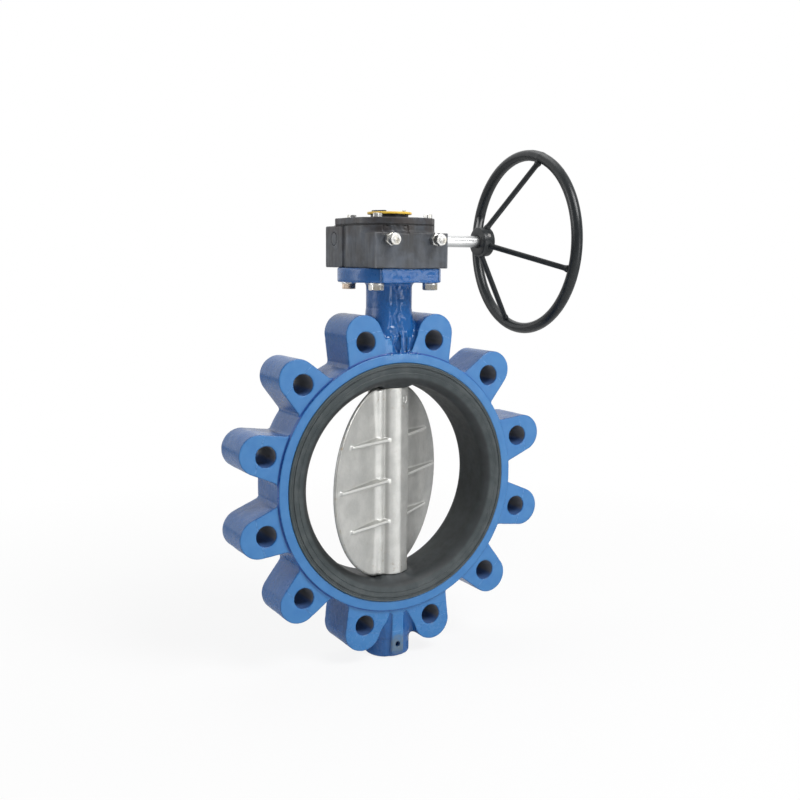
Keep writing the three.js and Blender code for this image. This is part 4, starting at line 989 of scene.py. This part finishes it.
def disc():
    low = (-DISC_RADIUS, -HUB_RADIUS, -DISC_RADIUS)
    high = (DISC_RADIUS, HUB_RADIUS, DISC_RADIUS)
    made, _, _, points, normals = casting(
        "cast_disc", disc_field, disc_roughness, low, high, 1.1, "cast_stainless", OPEN_ANGLE)
    near_end = ramp(abs(points[:, 2]), 70, 112) * (abs(points[:, 0]) < 42)
    rim = hypot(points[:, 0], points[:, 2]) > DISC_RADIUS - 2
    crest, grime = rib_marks(points, normals)
    leave_marks(made, edge=np.clip(near_end + rim, 0.15, 1), crest=crest, grime=grime)
    dress(made, STEM, "cast_stainless", "disc")
    rings = soften(section(0, DISC_PIN_RADIUS, -DISC_PIN_END, DISC_PIN_END), 0.8)
    place = (0, 0, DISC_PIN_HEIGHT)
    turned("hub_pin", "disc_pin", STEM, "cast_stainless", rings, 32, "y", place, angle=OPEN_ANGLE,
           slot="stem_steel")


# The gear operator's housing and cover.
def round_box(x, y, low, high, radius):
    """A rectangle in the plane with rounded corners."""
    across = maximum(low[0] - x, x - high[0])
    along = maximum(low[1] - y, y - high[1])
    return meet(across, along, radius)


def housing_field(x, y, z):
    across = hypot(x, y)
    drum = meet(across - HOUSING_RADIUS, slab(z, FLANGE_TOP, HOUSING_TOP), 0.6)
    tunnel = round_box(x, y, (-HOUSING_RADIUS, TUNNEL_FRONT), (HOUSING_RADIUS, TUNNEL_BACK), 1.8)
    tunnel = meet(tunnel, slab(z, FLANGE_TOP, HOUSING_TOP), 1.6)
    box = round_box(x, y, (-STOP_BOX_HALF_WIDTH, -STOP_BOX_FRONT), (STOP_BOX_HALF_WIDTH, 0), 0.7)
    box = meet(box, slab(z, FLANGE_TOP, STOP_BOX_TOP), 0.8)
    solid = join(join(drum, tunnel, 2), box, 3)
    cavity = maximum(across - CAVITY_RADIUS, CAVITY_FLOOR - z)
    stem = across - STEM_BORE - GAP
    shaft = hypot(y - SHAFT_Y, z - SHAFT_Z)
    worm = maximum(shaft - TUNNEL_RADIUS, abs(x) - TUNNEL_HALF_LENGTH)
    left = maximum(maximum(shaft - LEFT_BUSHING_BORE, x), -LEFT_BUSHING_END - x)
    plug = maximum(shaft - END_PLUG_BORE, x)
    right = maximum(shaft - RIGHT_BUSHING_BORE, -x)
    inner = minimum(minimum(minimum(cavity, stem), worm), minimum(minimum(left, plug), right))
    solid = cut(solid, inner, 0.5)
    above = z - FLANGE_TOP - HOUSING_BOLT_DEPTH
    solid = bore_corners(solid, x, y, MOUNT_BOLT_OFFSET, HOUSING_BOLT_HOLE, above, 0.2)
    under = HOUSING_TOP - COVER_SCREW_DEPTH - z
    solid = bore_corners(solid, x, y, COVER_SCREW_OFFSET, COVER_SCREW_HOLE, under, 0.2)
    for side in (-1, 1):
        stop = hypot(x - side * STOP_BOLT_OFFSET, z - STOP_BOLT_HEIGHT) - STOP_BOLT_HOLE
        solid = cut(solid, maximum(stop, y), 0.3)
    return solid


def housing_roughness(points, normals):
    x, y, z = points.T
    across = hypot(x, y)
    inner = (across < CAVITY_RADIUS + 1) | (hypot(y - SHAFT_Y, z - SHAFT_Z) < TUNNEL_RADIUS + 1)
    flat = ramp(abs(normals[:, 2]), 0.9, 0.98) * ((z > HOUSING_TOP - 3) | (z < FLANGE_TOP + 3))
    lumps = 0.22 * noise(points, 12, 21) + 0.12 * noise(points, 4, 22)
    above_box = (y < -30) & (z > STOP_BOX_TOP - 2) & (x > -32) & (x < -4)
    lumps = lumps + above_box * 1.6 * noise(points, 3.4, 23)
    return np.where(inner, 0, (1 - flat) * lumps)


def cover_field(x, y, z):
    across = hypot(x, y)
    flat = round_box(x, y, (-HOUSING_RADIUS, 0), (HOUSING_RADIUS, COVER_BACK), 1.5)
    outline = minimum(across - HOUSING_RADIUS, flat)
    solid = meet(outline, slab(z, COVER_BOTTOM, COVER_TOP), 1.3)
    solid = cut(solid, across - COVER_BORE, 0.6)
    return bore_corners(solid, x, y, COVER_SCREW_OFFSET, COVER_SCREW_HOLE, -HOUSING_RADIUS, 0.3)


def cover_roughness(points, normals):
    inner = hypot(points[:, 0], points[:, 1]) < COVER_BORE + 1
    under = points[:, 2] < COVER_BOTTOM + 0.5
    lumps = 0.18 * noise(points, 11, 31) + 0.1 * noise(points, 3.4, 32)
    return np.where(inner | under, 0, lumps)


def gear_operator():
    low = (-HOUSING_RADIUS, -STOP_BOX_FRONT, FLANGE_TOP)
    high = (HOUSING_RADIUS, TUNNEL_BACK, HOUSING_TOP)
    made, _, plain, _, _ = casting(
        "gear_case", housing_field, housing_roughness, low, high, 1.0, "black_paint")
    corner = hypot(abs(plain[:, 0]) - STOP_BOX_HALF_WIDTH, plain[:, 1] + STOP_BOX_FRONT)
    leave_marks(made, edge=np.exp(-((corner / 1.3) ** 2)) * (0.3 + 0.7 * noise(plain, 7, 24)))
    dress(made, BODY, "black_paint", "gearbox_housing")
    low = (-HOUSING_RADIUS, -HOUSING_RADIUS, COVER_BOTTOM)
    high = (HOUSING_RADIUS, HOUSING_RADIUS, COVER_TOP)
    cover = casting("gear_case_cover", cover_field, cover_roughness, low, high, 0.8, "black_paint")[0]
    dress(cover, BODY, "black_paint", "gearbox_cover")
    rings = section(SHAFT_RADIUS + GAP, SEAL_CAP_RADIUS, HOUSING_RADIUS, SEAL_CAP_END)
    rings = soften(rings, 1.1, closed=True)
    turned("seal_cap", "shaft_seal_cap", BODY, "black_paint", rings, 64, "x", AXLE, closed=True)
    rings = soften(section(0, SHAFT_RADIUS, -HOUSING_RADIUS, END_PLUG_DEPTH - HOUSING_RADIUS), 0.5)
    turned("tunnel_plug", "worm_end_plug", BODY, "black_paint", rings, 48, "x", AXLE)


# Fasteners.
def hexagon(flats, sides, turn):
    """The circle where its chamfer starts, its outline, and how far the chamfer falls there."""
    angle = np.mod(side_angles(sides) + math.radians(turn) + math.pi / 6, math.pi / 3) - math.pi / 6
    inner, outer = 0.93 * flats / 2, flats / 2 / np.cos(angle)
    return inner, outer, maximum(outer - inner, 0) * math.tan(math.radians(30))


def threaded(radius, start, end, pitch, sides):
    """Rings of a right-handed thread."""
    rings = []
    depth = 0.54 * pitch
    for place in np.arange(start, end, -pitch / 6):
        phase = np.mod(place / pitch + side_angles(sides) / (2 * math.pi), 1)
        rings.append((radius - depth * abs(2 * phase - 1), place))
    return rings


def screw(name, node, place, axis, head, shank, turn, threads=None, finish="zinc_plated"):
    """A hexagon screw whose head's top is at place and whose shank runs away along -axis."""
    sides = 48
    flats, height = head
    radius, length = shank
    inner, outer, chamfer = hexagon(flats, sides, turn)
    rings = [(0, -0.25), (0.45 * inner, -0.25), (0.6 * inner, 0), (inner, 0), (outer, -chamfer)]
    rings += [(outer, -height), (radius, -height)]
    if threads:
        rings += threaded(radius, -height - 0.4, -height - threads[0], threads[1], sides)
        rings.append((radius - 0.4, -height - threads[0] - 0.3))
    rings += [(radius - 0.4, 0.8 - length), (radius - 1.1, -length), (0, -length)]
    turned(name, node, BODY, finish, rings, sides, axis, place, sharp=24, slot="zinc_plated")


def ring_nut(name, node, place, flats, height, bore, turn):
    sides = 48
    inner, outer, chamfer = hexagon(flats, sides, turn)
    rings = [
        (bore, -0.6), (bore + 0.6, 0), (inner, 0), (outer, -chamfer), (outer, chamfer - height),
        (inner, -height), (bore + 0.6, -height), (bore, 0.6 - height),
    ]
    turned(name, node, BODY, "zinc_plated", rings, sides, "-y", place, closed=True, sharp=24)


def fasteners():
    turns = zip("1234", CORNERS, (8, 47, 21, 33), (11, 33, 5, 50))
    for i, (sign_x, sign_y), lid_turn, bolt_turn in turns:
        place = (sign_x * COVER_SCREW_OFFSET, sign_y * COVER_SCREW_OFFSET, COVER_TOP + 4.4)
        screw(f"lid_screw_{i}", f"cover_screw_{i}", place, "z", (10, 4.4), (3, 18.2), lid_turn,
              finish="dull_zinc")
        x, y, face = sign_x * MOUNT_BOLT_OFFSET, sign_y * MOUNT_BOLT_OFFSET, FLANGE_BOTTOM - WASHER_THICKNESS
        screw(f"flange_bolt_{i}", f"mounting_bolt_{i}", (x, y, face - 6.4), "-z", (16, 6.4), (5, 37.8),
              bolt_turn, finish="tarnished_zinc" if i == "2" else "zinc_plated")
        rings = soften(section(5.4, 9, 0, WASHER_THICKNESS), 0.35, 2, closed=True)
        turned(f"flange_washer_{i}", f"mounting_washer_{i}", BODY, "zinc_plated", rings, 48,
               place=(x, y, face), closed=True)
    for i, side, bolt_turn, nut_turn in ((1, -1, 28, 6), (2, 1, 12, 44)):
        x, z = side * STOP_BOLT_OFFSET, STOP_BOLT_HEIGHT
        screw(f"travel_bolt_{i}", f"stop_bolt_{i}", (x, -72.5, z), "-y", (13, 5.5), (4, 64.2), bolt_turn,
              threads=(12, 1.25), finish="dull_zinc")
        ring_nut(f"travel_nut_{i}", f"stop_nut_{i}", (x, -63, z), 13, 6.5, 4.3, nut_turn)


# The position indicator.
def indicator():
    rings = soften([
        (0, 311.3), (14.5, 311.3), (14.5, 306.3), (19.4, 306.3), (19.4, 316.3), (22.6, 316.3),
        (22.6, DIAL_BOTTOM), (0, DIAL_BOTTOM),
    ], 0.5)
    turned("indicator_base", "indicator_hub", STEM, "black_plastic", rings, 72, angle=OPEN_ANGLE)
    rings = soften(section(0, DIAL_RADIUS, DIAL_BOTTOM, DIAL_TOP), 0.8)
    turned("indicator_dial", "indicator_plate", STEM, "yellow_plastic", rings, 96, angle=OPEN_ANGLE)
    pointer()
    head = DIAL_TOP + 2
    rings = [(0, head), (3, head), (3, DIAL_TOP), (1.6, DIAL_TOP), (1.6, 317.6), (0, 317.6)]
    turned("dial_screw", "indicator_screw", STEM, "zinc_plated", soften(rings, 0.5), 32,
           place=(0, -19, 0), angle=OPEN_ANGLE)


def pointer():
    tail, wide, near, middle, far = 2.6, 5, 5.5, 15.25, 25
    outline = [(-tail, near), (tail, near), (tail, middle), (wide, middle), (0, far), (-wide, middle),
               (-tail, middle)]
    points = [(x, y, z) for z in (DIAL_TOP, 326.2) for x, y in outline]
    count = len(outline)
    faces = [list(range(count))[::-1], [count + i for i in range(count)]]
    faces += [[i, (i + 1) % count, count + (i + 1) % count, count + i] for i in range(count)]
    made = mesh_object("dial_arrow", turn_about_z(points, OPEN_ANGLE), faces, "black_plastic")
    edge = made.modifiers.new("edge", "BEVEL")
    edge.width = 0.5 * MM
    edge.segments = 3
    edge.limit_method = "ANGLE"
    bake(made)
    tidy_normals(made)
    dress(made, STEM, "black_plastic", "indicator_pointer")


# The input shaft and the handwheel.
def shaft():
    rings = soften([(0, -48), (SHAFT_THIN, -48), (SHAFT_THIN, 27.2), (SHAFT_RADIUS, 27.2),
                    (SHAFT_RADIUS, SHAFT_END), (0, SHAFT_END)], 0.9)
    turned("bare_shaft", "input_shaft", WHEEL, "bright_steel", rings, 64, "x", AXLE, slot="zinc_plated")
    rings = section(SHAFT_RADIUS + GAP, HUB_OUTER, HUB_NEAR, HUB_NEAR + HUB_LENGTH)
    rings = soften(rings, 1.4, closed=True)
    turned("wheel_hub", "handwheel_hub", WHEEL, "wheel_paint", rings, 72, "x", AXLE, closed=True)


def handwheel():
    turn = np.mod(side_angles(360) - math.radians(SPOKE_START + 90) + math.pi, 2 * math.pi) - math.pi
    arc = turn * RIM_RADIUS
    weld = 1 + 0.07 * np.exp(-((arc / 2.6) ** 2)) + 0.03 * ramp(-arc, 0, 2) * (turn > -0.2)
    rings = []
    for angle in side_angles(32):
        out = RIM_RADIUS + (RIM_TUBE - 0.35) * weld * math.cos(angle)
        rings.append((out, RIM_PLACE + RIM_TUBE_ALONG * minimum(weld * math.sin(angle), 1)))
    turned("wheel_rim", "handwheel_rim", WHEEL, "wheel_paint", rings, 360, "x", AXLE, closed=True)
    for i in range(4):
        spoke(i)


def spoke(i):
    """A round bar from the hub to the rim, with a weld bead at each end."""
    angle = math.radians(SPOKE_START + 90 * i)
    out = np.array([0, math.cos(angle), math.sin(angle)])
    start = np.array([SPOKE_HUB_PLACE, 0, 0]) + out * (HUB_OUTER - 3)
    end = np.array([RIM_PLACE, 0, 0]) + out * (RIM_RADIUS - 1)
    along = end - start
    length = np.linalg.norm(along)
    along /= length
    side = np.cross(along, [0, 0, 1.0])
    side /= np.linalg.norm(side)
    rise = np.cross(along, side)
    spans = ((0, 12, 9), (16, length - 18, 8), (length - 14, length, 11))
    places = np.concatenate([np.linspace(*span) for span in spans])
    rings = [(0, places[0])]
    for place in places:
        weld = 0.9 * np.exp(-((place - 3.5) / 2.6) ** 2) + 1.2 * np.exp(-((length - 7.5 - place) / 2.4) ** 2)
        rings.append((SPOKE_RADIUS + weld, place))
    rings.append((0, places[-1]))
    points, faces = ring_shell(rings, 24)
    points = start + points[:, [0]] * side + points[:, [1]] * rise + points[:, [2]] * along
    made = mesh_object(f"wheel_spoke_{i + 1}", points + AXLE, faces, "wheel_paint")
    tidy_normals(made)
    dress(made, WHEEL, "wheel_paint", f"handwheel_spoke_{i + 1}")


# Camera, lamps and stage.
def camera():
    azimuth, elevation, roll = np.radians((-28.799, 7.597, 0.4949)).tolist()
    distance, shift_right, shift_up = 1282.49, 15.304, 96.632
    focal_pixels, picture_pixels, sensor = 1039.53, 800, 36
    flat = math.cos(elevation)
    back = np.array([math.sin(azimuth) * flat, -math.cos(azimuth) * flat, math.sin(elevation)])
    level = np.array([math.cos(azimuth), math.sin(azimuth), 0])
    upright = np.cross(back, level)
    right = math.cos(roll) * level + math.sin(roll) * upright
    up = math.cos(roll) * upright - math.sin(roll) * level
    place = (back * distance + right * shift_right + up * shift_up) * MM
    data = bpy.data.cameras.new("camera")
    data.sensor_width = sensor
    data.lens = sensor * focal_pixels / picture_pixels
    data.clip_end = 100
    made = placed("camera", data)
    made.matrix_world = Matrix([[*row, 0] for row in zip(right, up, back)] + [[0, 0, 0, 1]])
    made.matrix_world.translation = place
    bpy.context.scene.camera = made


def lamp(name, place, aim, size, power):
    data = bpy.data.lights.new(name, "AREA")
    data.shape = "DISK"
    data.size = size
    data.energy = power
    made = placed(name, data)
    made.location = place
    direction = (np.array(aim) - np.array(place)).tolist()
    made.rotation_euler = Vector(direction).to_track_quat("-Z", "Y").to_euler()


def sky():
    """White for the camera. Gloss sees it white behind the object and dimmer in front, as in a studio."""
    world = bpy.data.worlds.new("studio")
    bpy.context.scene.world = world
    tree = Tree(world)
    tree.nodes.clear()
    path = tree.add("ShaderNodeLightPath").outputs
    along = tree.run("ShaderNodeSeparateXYZ", {0: tree.run("ShaderNodeTexCoord", {}, "Generated")}, 1)
    behind = tree.band(along, -WORLD_TURN, WORLD_TURN, WORLD_FRONT, kind="LINEAR")
    gloss = tree.math("MAXIMUM", path["Is Glossy Ray"], path["Is Transmission Ray"])
    plain, seen, white = [
        tree.run("ShaderNodeBackground", {"Color": (1, 1, 1), "Strength": strength})
        for strength in (WORLD_LIGHT, behind, 1.0)
    ]
    mixed = tree.run("ShaderNodeMixShader", {0: gloss, 1: plain, 2: seen})
    mixed = tree.run("ShaderNodeMixShader", {0: path["Is Camera Ray"], 1: mixed, 2: white})
    tree.links.new(mixed, tree.add("ShaderNodeOutputWorld").inputs["Surface"])


def studio_floor():
    """A white floor that keeps the shadow near the object and fades to plain white further out."""
    MATERIALS["floor"] = bpy.data.materials.new("floor")
    tree = Tree(MATERIALS["floor"])
    tree.nodes.clear()
    place = tree.run("ShaderNodeTexCoord", {}, "Object")
    away = tree.run("ShaderNodeVectorMath", {0: place}, "Value", operation="LENGTH")
    fade = tree.band(away, 0.35, 1.1, 0.87, kind="LINEAR")
    share = tree.times(tree.run("ShaderNodeLightPath", {}, "Is Camera Ray"), fade)
    plain = tree.run("ShaderNodeBsdfDiffuse", {"Color": (0.9, 0.9, 0.9)})
    white = tree.run("ShaderNodeEmission", {"Strength": 1.0})
    mixed = tree.run("ShaderNodeMixShader", {0: share, 1: plain, 2: white})
    tree.links.new(mixed, tree.add("ShaderNodeOutputMaterial").inputs["Surface"])
    reach, level = 9000, -BOSS_BOTTOM - 0.5
    corners = [(reach * sign_x, reach * sign_y, level) for sign_x, sign_y in CORNERS]
    mesh_object("floor", corners, [[0, 1, 2, 3]], "floor")


bpy.context.scene.view_settings.view_transform = "Standard"
camera()
sky()
lamp("key", (0.6, -1.35, 1.6), (0, 0, 0.1), 1.1, 33)
lamp("front", (1.05, -1.9, 0.1), (0, 0, 0.1), 1.0, 7.5)
lamp("fill", (-2.1, 0.6, 0.7), (0, 0, 0.05), 1.2, 13)
lamp("top", (0.2, 0.8, 2.2), (0, 0, 0.1), 1.4, 9)
studio_floor()
carried_over()
valve_casting()
seat_liner()
disc()
gear_operator()
fasteners()
indicator()
shaft()
handwheel()
